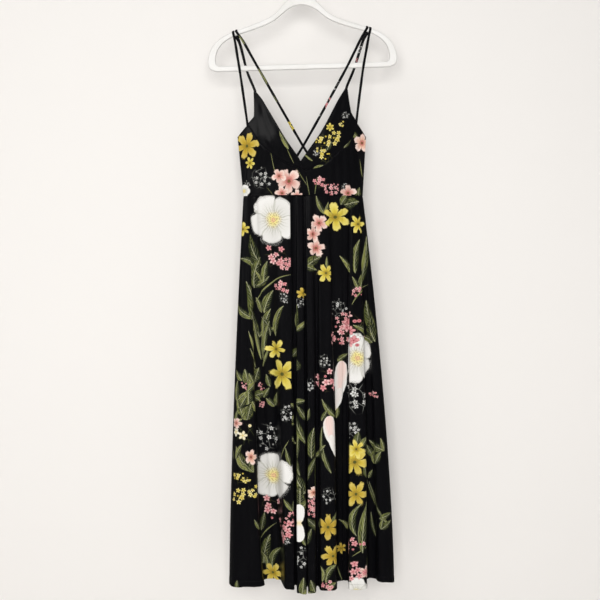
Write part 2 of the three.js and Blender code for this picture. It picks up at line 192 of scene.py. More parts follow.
# The point that shows at (x, z): the nearest to the viewer of those that lie close enough
def shownPoint(outer, seenX, seenZ, facing, side, x, z):
    gap = np.where(facing, np.hypot(seenX - x, seenZ - z), np.inf)
    depth = np.where(gap < gap.min() + stamping["reach"], side * outer[..., 1] + gap, np.inf)
    return np.unravel_index(np.argmin(depth), depth.shape)


# How much narrower the cloth looks near a point than it is, because it turns away there
def squeezeNear(seenX, across, row, column, size):
    near = np.abs(across[row] - across[row, column]) < size * stamping["near"]
    squeeze = np.ptp(seenX[row][near]) / max(np.ptp(across[row][near]), 1e-3)
    return min(max(squeeze, stamping["leastSqueeze"]), 1) ** stamping["squeezePower"]


# A motif's own small coordinates, from the lengths beside and above its middle
def motifPlace(kind, beside, above, size, turn, slim, bend):
    cosine, sine = math.cos(math.radians(turn)), math.sin(math.radians(turn))
    if kind in leafLike:
        v = (above * cosine + beside * sine) / size
        u = beside * cosine - above * sine - bend * size * (v**2 - stamping["bendAt"])
        return u / (2 * size * slim), v
    beside, above = beside / (size * slim), above / size
    return beside * cosine - above * sine, beside * sine + above * cosine


# Columns of a motif: x and z as seen from straight in front of its side of the dress, size, turn in
# degrees, slimness or squash, bend (leaves and petals only) and seed. Round heads have no turn or squash.
# A motif stays on its middle's side of every edge in cuts.
def stampMotifs(outer, spots, motifs, side, isFlat, cuts):
    across, down = gridRun(outer, 1), gridRun(outer, 0)
    seenX, seenZ = seenPlaces(outer, side)
    slopeX, slopeZ = np.gradient(seenX, axis=1), np.gradient(seenZ, axis=0)
    facing = side * gridNormals(outer)[..., 1] < stamping["facing"]
    faceX, faceZ = seenX.ravel()[spots].mean(1), seenZ.ravel()[spots].mean(1)
    layers = {}
    for kind, (x, z, size, *shape, seed) in [(kind, row) for kind in motifs for row in motifs[kind]]:
        turn, slim, bend = shape + [0, 1, 0][len(shape):]
        at = shownPoint(outer, seenX, seenZ, facing, side, x, z)
        if isFlat:
            beside, above = outer[..., 0] - outer[at][0], outer[..., 2] - outer[at][2]
        else:
            squeeze = 1 if kind in leafLike else squeezeNear(seenX, across, *at, size)
            beside = np.sign(slopeX[at]) * (across - across[:, at[1], None]) * squeeze
            above = np.sign(slopeZ[at]) * (down - down[at])
        beside = side * (beside - (x - seenX[at]))
        above = above - (z - seenZ[at])
        u, v = motifPlace(kind, beside, above, size, turn, slim, bend)
        own = np.stack([u.ravel(), v.ravel(), np.full(u.size, seed)], 1).astype(np.float32)[spots]
        low, high = own[..., :2].min(1), own[..., :2].max(1)
        inside = ((low < stamping["edge"]) & (high > -stamping["edge"])).all(1)
        for edge in cuts:
            edgeX, edgeZ = np.array(edge[::-1]).T
            isSame = (faceX > np.interp(faceZ, edgeZ, edgeX)) == (x > np.interp(z, edgeZ, edgeX))
            inside &= isSame | (faceZ > edgeZ[-1]) | (faceZ < edgeZ[0])
        for level in range(stamping["levels"]):
            marks = layers.setdefault(f"{kind}{level}", np.zeros((len(spots), 4, 3), np.float32))
            if not (marks[inside][..., 2] > 0).any():
                marks[inside] = own[inside]
                printLayers[kind] = max(printLayers.get(kind, 0), level + 1)
                break
    return layers


# Each cloth piece's map: one wide island for the outside, a narrow one for the inside and thin strips for
# the edges
island = {
    "edge": 0.01, "tall": 0.98, "outside": 0.7, "insideAt": 0.73, "inside": 0.23, "stripAt": 0.97,
    "strip": 0.004, "nextStrip": 0.007,
}


# Faces of a cloth, outside, inside and edges, as numbers of its points, and their places on the map
def clothFaces(across, fallen, isTube):
    count = across.size
    ids = np.arange(count).reshape(across.shape)
    shareU = (across / across.max()).ravel()
    placeV = island["edge"] + island["tall"] * (1 - fallen / fallen.max()).ravel()
    sheet = np.stack([ids[:-1, :-1], ids[1:, :-1], ids[1:, 1:], ids[:-1, 1:]], -1).reshape(-1, 4)
    lining = sheet[:, ::-1]
    spots = [sheet, lining + count]
    uv = [
        np.stack([island["edge"] + island["outside"] * shareU[sheet], placeV[sheet]], -1),
        np.stack([island["insideAt"] + island["inside"] * shareU[lining], placeV[lining]], -1),
    ]
    edges = [ids[0], ids[-1][::-1]] if isTube else [ids[:, 0][::-1], ids[:, -1], ids[0], ids[-1][::-1]]
    for i, line in enumerate(edges):
        first, after = line[:-1], line[1:]
        spots.append(np.stack([after, first, first + count, after + count], -1))
        stripV = island["edge"] + island["tall"] * np.linspace(0, 1, len(line))
        stripU = island["stripAt"] + island["nextStrip"] * i + island["strip"] * np.array([0, 0, 1, 1])
        stripU = np.tile(stripU, (len(first), 1))
        uv.append(np.stack([stripU, np.stack([stripV[1:], stripV[:-1], stripV[:-1], stripV[1:]], 1)], -1))
    return np.vstack(spots), np.vstack(uv), len(sheet)


# A cloth piece from a grid of outside and one of inside points, closed along its edges. On a tube the
# last column lies on the first.
def clothPiece(name, outer, inner, side=1, isTube=False, isFlat=False, cuts=()):
    across, fallen = gridRun(outer, 1), gridRun(outer, 0)
    count = across.size
    spots, uv, outsideFaces = clothFaces(across, fallen, isTube)
    points = np.vstack([outer.reshape(-1, 3), inner.reshape(-1, 3)]) * mm
    used = np.arange(2 * count).reshape(2, *across.shape)
    if isTube:
        used[..., -1] = used[..., 0]
    used = used.ravel()
    corner = points[used[spots]]
    normal = np.cross(corner[:, 2] - corner[:, 0], corner[:, 3] - corner[:, 1])
    if (corner.mean(1) * normal).sum() < 0:
        spots, uv = spots[:, ::-1], uv[:, ::-1]
    kept, faces = np.unique(used[spots], return_inverse=True)
    mesh = bpy.data.meshes.new(f"{name}_cloth")
    mesh.from_pydata(points[kept].tolist(), [], faces.reshape(-1, 4).tolist())
    mesh.polygons.foreach_set("use_smooth", np.ones(len(spots), bool))
    isInside = np.zeros(len(spots), np.int32)
    isInside[outsideFaces:2 * outsideFaces] = 1
    mesh.polygons.foreach_set("material_index", isInside)
    mesh.uv_layers.new(name="OFBake").data.foreach_set("uv", uv.astype(np.float32).ravel())
    layers = stampMotifs(outer, spots % count, motifTables[name], side, isFlat, cuts)
    clothPlace = np.stack([across.ravel(), fallen.ravel(), np.zeros(count)], 1) * mm
    layers["clothPlace"] = clothPlace.astype(np.float32)[spots % count]
    for label, values in layers.items():
        mesh.attributes.new(label, "FLOAT_VECTOR", "CORNER").data.foreach_set("vector", values.ravel())
    for material in ("printedSatin", "satinReverse"):
        mesh.materials.append(getMaterial(material))
    piece = bpy.data.objects.new(f"{name}_cloth", mesh)
    scene.collection.objects.link(piece)
    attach(piece, "root")
    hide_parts(name)
    return piece


# Wiring of shader nodes: a Wire carries one value on, and sums of wires make Math nodes
class Wire:
    def __init__(self, tree, socket):
        self.tree, self.socket = tree, socket

    def __abs__(self):
        return calc("ABSOLUTE", self)


def addOperator(name, operation):
    setattr(Wire, f"__{name}__", lambda self, other: calc(operation, self, other))
    setattr(Wire, f"__r{name}__", lambda self, other: calc(operation, other, self))


addOperator("add", "ADD")
addOperator("sub", "SUBTRACT")
addOperator("mul", "MULTIPLY")
addOperator("truediv", "DIVIDE")
addOperator("pow", "POWER")


def treeOf(values):
    return next(value.tree for value in values if isinstance(value, Wire))


def feed(tree, socket, value):
    if isinstance(value, Wire):
        tree.links.new(value.socket, socket)
    elif isinstance(value, (tuple, list)) and socket.type == "RGBA" and len(value) == 3:
        socket.default_value = (*value, 1)
    elif value is not None:
        socket.default_value = value


def place(tree, kind, values=None, out=0, **settings):
    node = tree.nodes.new(kind)
    for key, value in settings.items():
        setattr(node, key, value)
    for key, value in (values or {}).items():
        feed(tree, node.inputs[key], value)
    return Wire(tree, node.outputs[out]) if out is not None else node


def calc(operation, *values):
    return place(treeOf(values), "ShaderNodeMath", dict(enumerate(values)), operation=operation)


def ramp(value, low, high):
    values = {"Value": value, "From Min": low, "From Max": high}
    return place(value.tree, "ShaderNodeMapRange", values, interpolation_type="SMOOTHSTEP")


# Inputs 6 and 7 of a Mix node are its two colours and output 2 is the colour between them
def blend(share, first, second):
    tree = treeOf((share, first, second))
    return place(tree, "ShaderNodeMix", {0: share, 6: first, 7: second}, 2, data_type="RGBA")


def parts(vector, kind="ShaderNodeSeparateXYZ"):
    node = place(vector.tree, kind, {0: vector}, None)
    return [Wire(vector.tree, output) for output in node.outputs]


def joined(*values):
    return place(treeOf(values), "ShaderNodeCombineXYZ", dict(enumerate(values)))


def noise(where, scale, detail=2, rough=0.5, distortion=0):
    values = {"Vector": where, "Scale": scale, "Detail": detail, "Roughness": rough, "Distortion": distortion}
    return place(where.tree, "ShaderNodeTexNoise", values)


def newGroup(name, inputs, outputs):
    tree = bpy.data.node_groups.new(name, "ShaderNodeTree")
    for label, kind in inputs.items():
        tree.interface.new_socket(label, in_out="INPUT", socket_type=f"NodeSocket{kind}")
    for label, kind in outputs.items():
        tree.interface.new_socket(label, in_out="OUTPUT", socket_type=f"NodeSocket{kind}")
    given = tree.nodes.new("NodeGroupInput")
    return tree, [Wire(tree, given.outputs[label]) for label in inputs]


def endGroup(tree, **results):
    end = tree.nodes.new("NodeGroupOutput")
    for label, value in results.items():
        feed(tree, end.inputs[label], value)


def useGroup(tree, group, values, outs):
    node = place(tree, "ShaderNodeGroup", None, None, node_tree=bpy.data.node_groups[group])
    for label, value in values.items():
        feed(tree, node.inputs[label], value)
    return [Wire(tree, node.outputs[label]) for label in outs]


def getMaterial(name):
    return bpy.data.materials.get(name) or bpy.data.materials.new(name)


def cleanTree(name):
    material = getMaterial(name)
    material.use_nodes = True
    material.node_tree.nodes.clear()
    return material.node_tree


# Every motif has one group: its own small coordinates and its seed go in, its colour and its cover come
# out. A seed of nought means that no motif lies there.
def motifGroup(kind):
    tree, (where,) = newGroup(kind, {"Place": "Vector"}, {"Colour": "Color", "Cover": "Float"})
    u, v, seed = parts(where)
    return tree, u, v, seed, calc("GREATER_THAN", seed, 0.001)


# The end of a material: a Principled shader with these values, straight to the output
def finishMaterial(tree, values):
    shader = place(tree, "ShaderNodeBsdfPrincipled", values)
    place(tree, "ShaderNodeOutputMaterial", {"Surface": shader}, None)


# Flowers with petals round a middle. Reach is how far a petal goes, dent how far the edge falls back
# between two petals and point how sharp a petal ends. All lengths are shares of the flower's radius.
petalFlowers = {
    "rose": {
        "petals": 5, "reach": 0.99, "dent": 0.17, "point": 4, "wobble": 0.05, "body": (0.77, 0.76, 0.72),
        "edge": (0.87, 0.86, 0.84), "line": (0.3, 0.31, 0.22), "lineShare": 0.4, "rays": 27,
        "rayShare": 0.75, "rayReach": 0.72, "throat": (0.85, 0.74, 0.22), "throatReach": 0.36,
        "heart": (0.8, 0.52, 0.28), "heartReach": 0.09, "outline": (0.5, 0.49, 0.45), "spots": 0.75,
        "blush": (0.84, 0.54, 0.48), "blushReach": 0.8,
    },
    "lily": {
        "petals": 6, "reach": 1.02, "dent": 0.64, "point": 2, "wobble": 0.15, "body": (0.7, 0.55, 0.06),
        "edge": (0.8, 0.7, 0.2), "line": (0.22, 0.16, 0.015), "lineShare": 0.95, "rays": 40,
        "rayShare": 0.4, "rayReach": 0.9, "throat": (0.36, 0.24, 0.03), "throatReach": 0.36,
        "heart": (0.1, 0.1, 0.02), "heartReach": 0.1, "outline": (0.26, 0.18, 0.02), "spots": 0.3,
        "blush": (0.4, 0.2, 0.01), "blushReach": 2.2,
    },
    "orchid": {
        "petals": 5, "reach": 0.99, "dent": 0.46, "point": 2.4, "wobble": 0.16, "body": (0.8, 0.42, 0.35),
        "edge": (0.88, 0.74, 0.67), "line": (0.4, 0.13, 0.11), "lineShare": 0.85, "rays": 26,
        "rayShare": 0.55, "rayReach": 0.8, "throat": (0.55, 0.13, 0.13), "throatReach": 0.36,
        "heart": (0.2, 0.1, 0.04), "heartReach": 0.12, "outline": (0.42, 0.2, 0.16), "spots": 0.7,
        "blush": (0.85, 0.62, 0.4), "blushReach": 0.8,
    },
}


def makeFlowerGroup(kind, s):
    tree, u, v, seed, isHere = motifGroup(kind)
    r = calc("SQRT", u * u + v * v)
    angle = calc("ARCTAN2", v, u)
    turn = angle / (2 * math.pi) + seed * 3.7
    rough = noise(joined(u * 2.2, v * 2.2, seed * 19), 1.6, 2)
    sector = turn * s["petals"] + (rough - 0.5) * 0.35
    fromPetal = calc("FRACT", sector + 20) - 0.5
    petal = calc("FLOOR", calc("FLOORED_MODULO", sector + 20, s["petals"]))
    chance = place(tree, "ShaderNodeTexWhiteNoise", {"W": petal + seed * 31}, 0, noise_dimensions="1D")
    beside = abs(fromPetal) * 2
    frill = noise(joined(u * 5, v * 5, seed * 11), 0.9, 1.5)
    reach = s["reach"] - 0.16 * chance - s["dent"] * beside ** s["point"] + (frill - 0.5) * s["wobble"] * 2
    cover = (1 - ramp(r - reach, -0.03, 0.01)) * isHere
    tone = blend(ramp(r / calc("MAXIMUM", reach, 0.1), 0.35, 0.95), s["body"], s["edge"])
    tone = blend(calc("MULTIPLY", chance, 0.5), tone, tuple(0.68 * c for c in s["body"]))
    tone = blend(ramp(seed, 0.45, 0.8) * ramp(r, s["blushReach"], 0.2) * 0.55, tone, s["blush"])
    rays = calc("SINE", angle * s["rays"] + rough * 7)
    rays = ramp(rays, 0.45, 1) * ramp(r, 0.12, 0.22) * ramp(r + rough * 0.3, s["rayReach"] + 0.1, 0.3)
    tone = blend(rays * s["rayShare"], tone, s["line"])
    between = ramp(beside, 0.86, 0.99) * ramp(r, 0.1, 0.2)
    tone = blend(between * s["lineShare"], tone, s["line"])
    tone = blend(ramp(beside, 0.06, 0) * ramp(r, 0.75, 0.3) * 0.45, tone, s["line"])
    tone = blend(ramp(r - reach, -0.1, -0.02) * 0.5, tone, s["outline"])
    inThroat = ramp(r + (rough - 0.5) * 0.2, s["throatReach"], s["throatReach"] * 0.35)
    tone = blend(inThroat * 0.85, tone, s["throat"])
    tone = blend(ramp(r, s["heartReach"] * 1.3, s["heartReach"] * 0.8), tone, s["heart"])
    dots = place(tree, "ShaderNodeTexVoronoi", {"Vector": joined(u * 15, v * 15, 0), "Scale": 1},
                 voronoi_dimensions="2D")
    dots = ramp(dots, 0.34, 0.2) * ramp(r, s["throatReach"] * 1.15, s["throatReach"] * 0.7)
    tone = blend(dots * s["spots"], tone, tuple(0.45 * c for c in s["heart"]))
    endGroup(tree, Colour=tone, Cover=cover)


# Heads of many small blossoms: a whole blossom, a bud or nothing in each cell, on a few thin stems
blossomHeads = {
    "pink": {
        "cells": 2.1, "size": 0.47, "buds": 0.16, "petal": (0.66, 0.24, 0.26), "pale": (0.87, 0.6, 0.58),
        "heart": (0.3, 0.04, 0.05), "rim": (0.36, 0.09, 0.1), "stem": (0.1, 0.09, 0.04),
    },
    "gold": {
        "cells": 1.9, "size": 0.45, "buds": 0.25, "petal": (0.7, 0.56, 0.08), "pale": (0.86, 0.8, 0.4),
        "heart": (0.25, 0.13, 0.01), "rim": (0.3, 0.19, 0.02), "stem": (0.12, 0.12, 0.03),
    },
    "cream": {
        "cells": 1.5, "size": 0.47, "buds": 0.1, "petal": (0.8, 0.72, 0.45), "pale": (0.88, 0.86, 0.78),
        "heart": (0.74, 0.5, 0.06), "rim": (0.3, 0.26, 0.14), "stem": (0.1, 0.12, 0.04),
    },
    "spray": {
        "cells": 2.9, "size": 0.36, "buds": 0.45, "petal": (0.42, 0.42, 0.4), "pale": (0.82, 0.82, 0.8),
        "heart": (0.06, 0.06, 0.05), "rim": (0.16, 0.16, 0.15), "stem": (0.34, 0.35, 0.32),
    },
}


def makeHeadGroup(kind, s):
    tree, u, v, seed, isHere = motifGroup(kind)
    offsetU, offsetV = seed * 37, seed * 17
    spot = joined(u * s["cells"] + offsetU, v * s["cells"] + offsetV, 0)
    node = place(tree, "ShaderNodeTexVoronoi", {"Vector": spot, "Scale": 1, "Randomness": 0.86}, None,
                 voronoi_dimensions="2D")
    tint = parts(Wire(tree, node.outputs["Color"]), "ShaderNodeSeparateColor")
    middle = parts(Wire(tree, node.outputs["Position"]))
    a = u * s["cells"] + offsetU - middle[0]
    b = v * s["cells"] + offsetV - middle[1]
    r = calc("SQRT", a * a + b * b)
    fromU, fromV = (middle[0] - offsetU) / s["cells"], (middle[1] - offsetV) / s["cells"]
    fromMiddle = calc("SQRT", fromU * fromU + fromV * fromV)
    inHead = calc("LESS_THAN", fromMiddle + (tint[0] - 0.5) * 0.36, 0.8) * calc("GREATER_THAN", tint[1], 0.05)
    isBud = calc("LESS_THAN", tint[2], s["buds"])
    lobe = calc("COSINE", (calc("ARCTAN2", b, a) + tint[1] * 6.3) * 5)
    flower = s["size"] * (0.86 + 0.3 * tint[0]) + (s["size"] * 0.24) * lobe
    reach = calc("MULTIPLY_ADD", isBud, s["size"] * 0.45 - flower, flower)
    blossom = (1 - ramp(r - reach, -0.035, 0.015)) * inHead
    lines = place(tree, "ShaderNodeTexVoronoi", {
        "Vector": joined(u * 1.9 + seed * 9 + v * 0.4, v * 1.5 + seed * 5, 0), "Scale": 1},
        voronoi_dimensions="2D", feature="DISTANCE_TO_EDGE")
    inside = calc("SQRT", u * u + v * v)
    stem = (1 - ramp(lines, 0.006, 0.028)) * ramp(inside, 0.95, 0.6) * 0.8
    tone = blend(tint[2] * ramp(r, 0.03, s["size"]), s["petal"], s["pale"])
    tone = blend(ramp(lobe, -0.35, -0.95) * ramp(r, 0.05, 0.14) * (1 - isBud) * 0.75, tone, s["rim"])
    tone = blend(ramp(r - reach, -0.1, -0.015) * 0.5, tone, s["rim"])
    tone = blend(ramp(r, 0.1, 0.05), tone, s["heart"])
    tone = blend(blossom, s["stem"], tone)
    endGroup(tree, Colour=tone, Cover=calc("MAXIMUM", blossom, stem) * isHere)


leafLook = {
    "dark": (0.009, 0.015, 0.004), "sage": (0.055, 0.08, 0.014), "khaki": (0.27, 0.28, 0.075),
    "pale": (0.56, 0.56, 0.36), "edge": (0.009, 0.011, 0.005),
}


def makeLeafGroup(s):
    tree, u, v, seed, isHere = motifGroup("leaf")
    rough = noise(joined(u * 1.5, v * 3, seed * 13), 1.7, 3)
    wide = calc("MAXIMUM", 1 - v * v, 0.0001) ** 0.8 * (0.5 - 0.14 * v) + (rough - 0.5) * 0.06
    beside = abs(u) / calc("MAXIMUM", wide, 0.01)
    cover = (1 - ramp(beside, 0.92, 1.04)) * ramp(abs(v), 1, 0.97) * isHere
    streaks = noise(joined(u * 9, v * 1.6, seed * 29), 1.4, 3)
    tone = blend(ramp(seed, 0.1, 0.5), s["dark"], s["sage"])
    tone = blend(ramp(seed, 0.5, 0.95) * 0.9, tone, s["khaki"])
    tone = blend(ramp(u, 0.02, -0.02) * ramp(seed, 0.1, 0.6) * 0.5, tone, s["khaki"])
    tone = blend(ramp(u, -0.015, 0.015) * (0.7 + 0.45 * rough), tone, s["dark"])
    tone = blend(ramp(streaks, 0.53, 0.68) * 0.6, tone, s["khaki"])
    tone = blend(ramp(streaks, 0.53, 0.41) * 0.85, tone, s["dark"])
    veins = calc("SINE", (v - abs(u) * 0.9) * 28 + rough * 4)
    tone = blend(ramp(veins, 0.75, 1) * ramp(beside, 0.95, 0.4) * 0.4, tone, s["pale"])
    tone = blend(ramp(beside, 0.7, 0.94) * ramp(u, -0.02, 0.02) * 0.85, tone, s["edge"])
    litEdge = ramp(beside, 0.82, 0.98) * ramp(u, 0.02, -0.02) * ramp(seed, 0.25, 0.7)
    tone = blend(litEdge * 0.5, tone, s["pale"])
    tone = blend(ramp(abs(u), 0.05, 0.015) * 0.6, tone, s["pale"])
    endGroup(tree, Colour=tone, Cover=cover)


# One petal of a big flower whose middle lies in a fold
petalLook = {
    "white": (0.86, 0.85, 0.82), "blush": (0.86, 0.62, 0.56), "shade": (0.5, 0.5, 0.46),
    "yellow": (0.8, 0.62, 0.2),
}


def makePetalGroup(s):
    tree, u, v, seed, isHere = motifGroup("petal")
    rough = noise(joined(u * 3, v * 2, seed * 23), 1.8, 3)
    wide = calc("MAXIMUM", 1 - abs(v) ** 2.6, 0.0001) ** 0.55 * (0.42 + 0.08 * v) + (rough - 0.5) * 0.1
    beside = abs(u) / calc("MAXIMUM", wide, 0.01)
    cover = (1 - ramp(beside, 0.95, 1.03)) * ramp(abs(v), 1, 0.98) * isHere
    flush = ramp(seed, 0.3, 0.7) * ramp(beside + (rough - 0.5) * 0.4 - v * 0.35, 1, 0.1)
    tone = blend(flush * 0.85, s["white"], s["blush"])
    fan = calc("SINE", u / (v * 0.35 + 0.62) * 34 + rough * 5)
    tone = blend(ramp(fan, 0.6, 1) * 0.3, tone, s["shade"])
    tone = blend(ramp(v, -0.45, -1) * 0.7, tone, s["yellow"])
    tone = blend(ramp(beside, 0.88, 0.98) * 0.5, tone, s["shade"])
    endGroup(tree, Colour=tone, Cover=cover)


# The whole print, laid one layer over the next on the near black ground
satin = {
    "ground": (0.0026, 0.0026, 0.0034), "groundLift": (0.0048, 0.0047, 0.006), "roughness": 0.34,
    "reverseRough": 0.22, "wearRough": 0.14, "inkRough": 0.08, "sheen": 0.008, "sheenRoughness": 0.3,
    "specular": 0.3, "inkFade": 0.95, "reverseShare": 0.4, "weaveDepth": 0.00004, "wrinkle": 16,
}


def makePrintGroup():
    tree, (ground,) = newGroup("floralPrint", {"Ground": "Color"}, {"Colour": "Color", "Ink": "Float"})
    colour, cover, ink = ground, None, None
    for kind in layerOrder:
        for level in range(printLayers.get(kind, 0)):
            mark = place(tree, "ShaderNodeAttribute", None, "Vector", attribute_name=f"{kind}{level}")
            # A trace of the layer below makes each layer wait its turn, so few values are held at once
            if cover:
                trace = joined(cover * 1e-9, 0, 0)
                mark = place(tree, "ShaderNodeVectorMath", {0: mark, 1: trace}, operation="ADD")
            tone, cover = useGroup(tree, kind, {"Place": mark}, ["Colour", "Cover"])
            colour = blend(cover, colour, tone)
            ink = cover if ink is None else calc("MAXIMUM", ink, cover)
    endGroup(tree, Colour=colour, Ink=ink)


# Fine diagonal floats of the satin and the slow small wrinkles of worn cloth, as heights. Each pair is how
# often it repeats in a metre across and along, or nearly so.
weave = {
    "floats": (2600, 420), "ribs": 5200, "ribLean": 0.8, "ribShare": 0.25, "soft": (38, 15),
    "crushed": (95, 60), "crushedShare": 0.22, "wear": (16, 9),
}


def makeWeaveGroup():
    tree, (wrinkle,) = newGroup("satinWeave", {"Wrinkle": "Float"}, {"Height": "Float", "Wear": "Float"})
    spot = place(tree, "ShaderNodeAttribute", None, "Vector", attribute_name="clothPlace")
    across, along, _ = parts(spot)

    def spread(kind, depth):
        return joined(across * weave[kind][0], along * weave[kind][1], depth)

    floats = noise(spread("floats", 0), 1, 2)
    ribs = calc("SINE", (across * weave["ribLean"] + along) * weave["ribs"]) * weave["ribShare"]
    soft = noise(spread("soft", 2.5), 1, 3, 0.55, 0.4)
    crushed = noise(spread("crushed", 7), 1, 2, 0.5, 0.6)
    height = floats * 0.5 + ribs + soft * wrinkle + crushed * (wrinkle * weave["crushedShare"])
    endGroup(tree, Height=height, Wear=noise(spread("wear", 4), 1, 3))


def makeSatin(name, isReverse):
    tree = cleanTree(name)
    height, wear = useGroup(tree, "satinWeave", {"Wrinkle": satin["wrinkle"]}, ["Height", "Wear"])
    ground = blend(wear, satin["ground"], satin["groundLift"])
    colour, ink = useGroup(tree, "floralPrint", {"Ground": ground}, ["Colour", "Ink"])
    if isReverse:
        colour = blend(1 - satin["reverseShare"], colour, ground)
    else:
        colour = blend(ramp(wear, 0.35, 0.75) * (1 - satin["inkFade"]), colour, ground)
    flatRough = satin["roughness"] + (satin["reverseRough"] if isReverse else 0)
    rough = flatRough + (wear - 0.5) * satin["wearRough"] + ink * satin["inkRough"]
    values = {"Height": height, "Distance": satin["weaveDepth"], "Strength": 0.9}
    finishMaterial(tree, {
        "Base Color": colour, "Roughness": rough, "Normal": place(tree, "ShaderNodeBump", values),
        "Sheen Weight": satin["sheen"], "Sheen Roughness": satin["sheenRoughness"],
        "Specular IOR Level": satin["specular"],
    })


plastic = {
    "colour": (0.87, 0.865, 0.85), "dull": (0.8, 0.79, 0.765), "roughness": 0.32, "specular": 0.45,
    "cloud": 14, "smudge": 60, "grain": 900, "waves": 45, "waveShare": 6, "bump": 0.000012,
}


def makePlastic():
    tree = cleanTree("whitePlastic")
    spot = place(tree, "ShaderNodeTexCoord", None, "Object")
    cloudy = noise(spot, plastic["cloud"], 3)
    grain = noise(spot, plastic["grain"], 2)
    colour = blend(ramp(cloudy, 0.35, 0.8), plastic["colour"], plastic["dull"])
    rough = plastic["roughness"] + (noise(spot, plastic["smudge"], 3) - 0.5) * 0.16
    height = grain + noise(spot, plastic["waves"], 2) * plastic["waveShare"]
    normal = place(tree, "ShaderNodeBump", {"Height": height, "Distance": plastic["bump"], "Strength": 0.6})
    finishMaterial(tree, {
        "Base Color": colour, "Roughness": rough, "Normal": normal, "Specular IOR Level": plastic["specular"],
    })


thread = {"dark": (0.012, 0.011, 0.013), "lit": (0.04, 0.038, 0.042), "roughness": 0.5, "twist": 1800}


def makeThread():
    tree = cleanTree("blackThread")
    spot = place(tree, "ShaderNodeTexCoord", None, "Object")
    twist = noise(spot, thread["twist"], 2)
    colour = blend(twist, thread["dark"], thread["lit"])
    finishMaterial(tree, {"Base Color": colour, "Roughness": thread["roughness"] + twist * 0.2})


paint = {
    "wall": (0.9, 0.879, 0.858), "floor": (0.86, 0.845, 0.825), "cloud": 1.3, "cloudShare": 0.6,
    "darker": 0.965, "grain": 420, "bump": 0.0004, "roughness": 0.85, "specular": 0.2,
}


def makePaint(name, colour, isOneSided):
    tree = cleanTree(name)
    spot = place(tree, "ShaderNodeTexCoord", None, "Object")
    cloudy = noise(spot, paint["cloud"], 3)
    tone = blend(cloudy * paint["cloudShare"], colour, tuple(paint["darker"] * c for c in colour))
    values = {"Height": noise(spot, paint["grain"], 3), "Distance": paint["bump"], "Strength": 0.25}
    shader = place(tree, "ShaderNodeBsdfPrincipled", {
        "Base Color": tone, "Roughness": paint["roughness"] + cloudy * 0.1,
        "Normal": place(tree, "ShaderNodeBump", values), "Specular IOR Level": paint["specular"],
    })
    if isOneSided:
        clear = place(tree, "ShaderNodeBsdfTransparent")
        behind = place(tree, "ShaderNodeNewGeometry", None, "Backfacing")
        shader = place(tree, "ShaderNodeMixShader", {0: behind, 1: shader, 2: clear})
    place(tree, "ShaderNodeOutputMaterial", {"Surface": shader}, None)


def finishMaterials():
    for kind, settings in petalFlowers.items():
        makeFlowerGroup(kind, settings)
    for kind, settings in blossomHeads.items():
        makeHeadGroup(kind, settings)
    makeLeafGroup(leafLook)
    makePetalGroup(petalLook)
    makePrintGroup()
    makeWeaveGroup()
    makeSatin("printedSatin", False)
    makeSatin("satinReverse", True)
    makePlastic()
    makeThread()
    makePaint("wallPaint", paint["wall"], True)
    makePaint("floorPaint", paint["floor"], False)


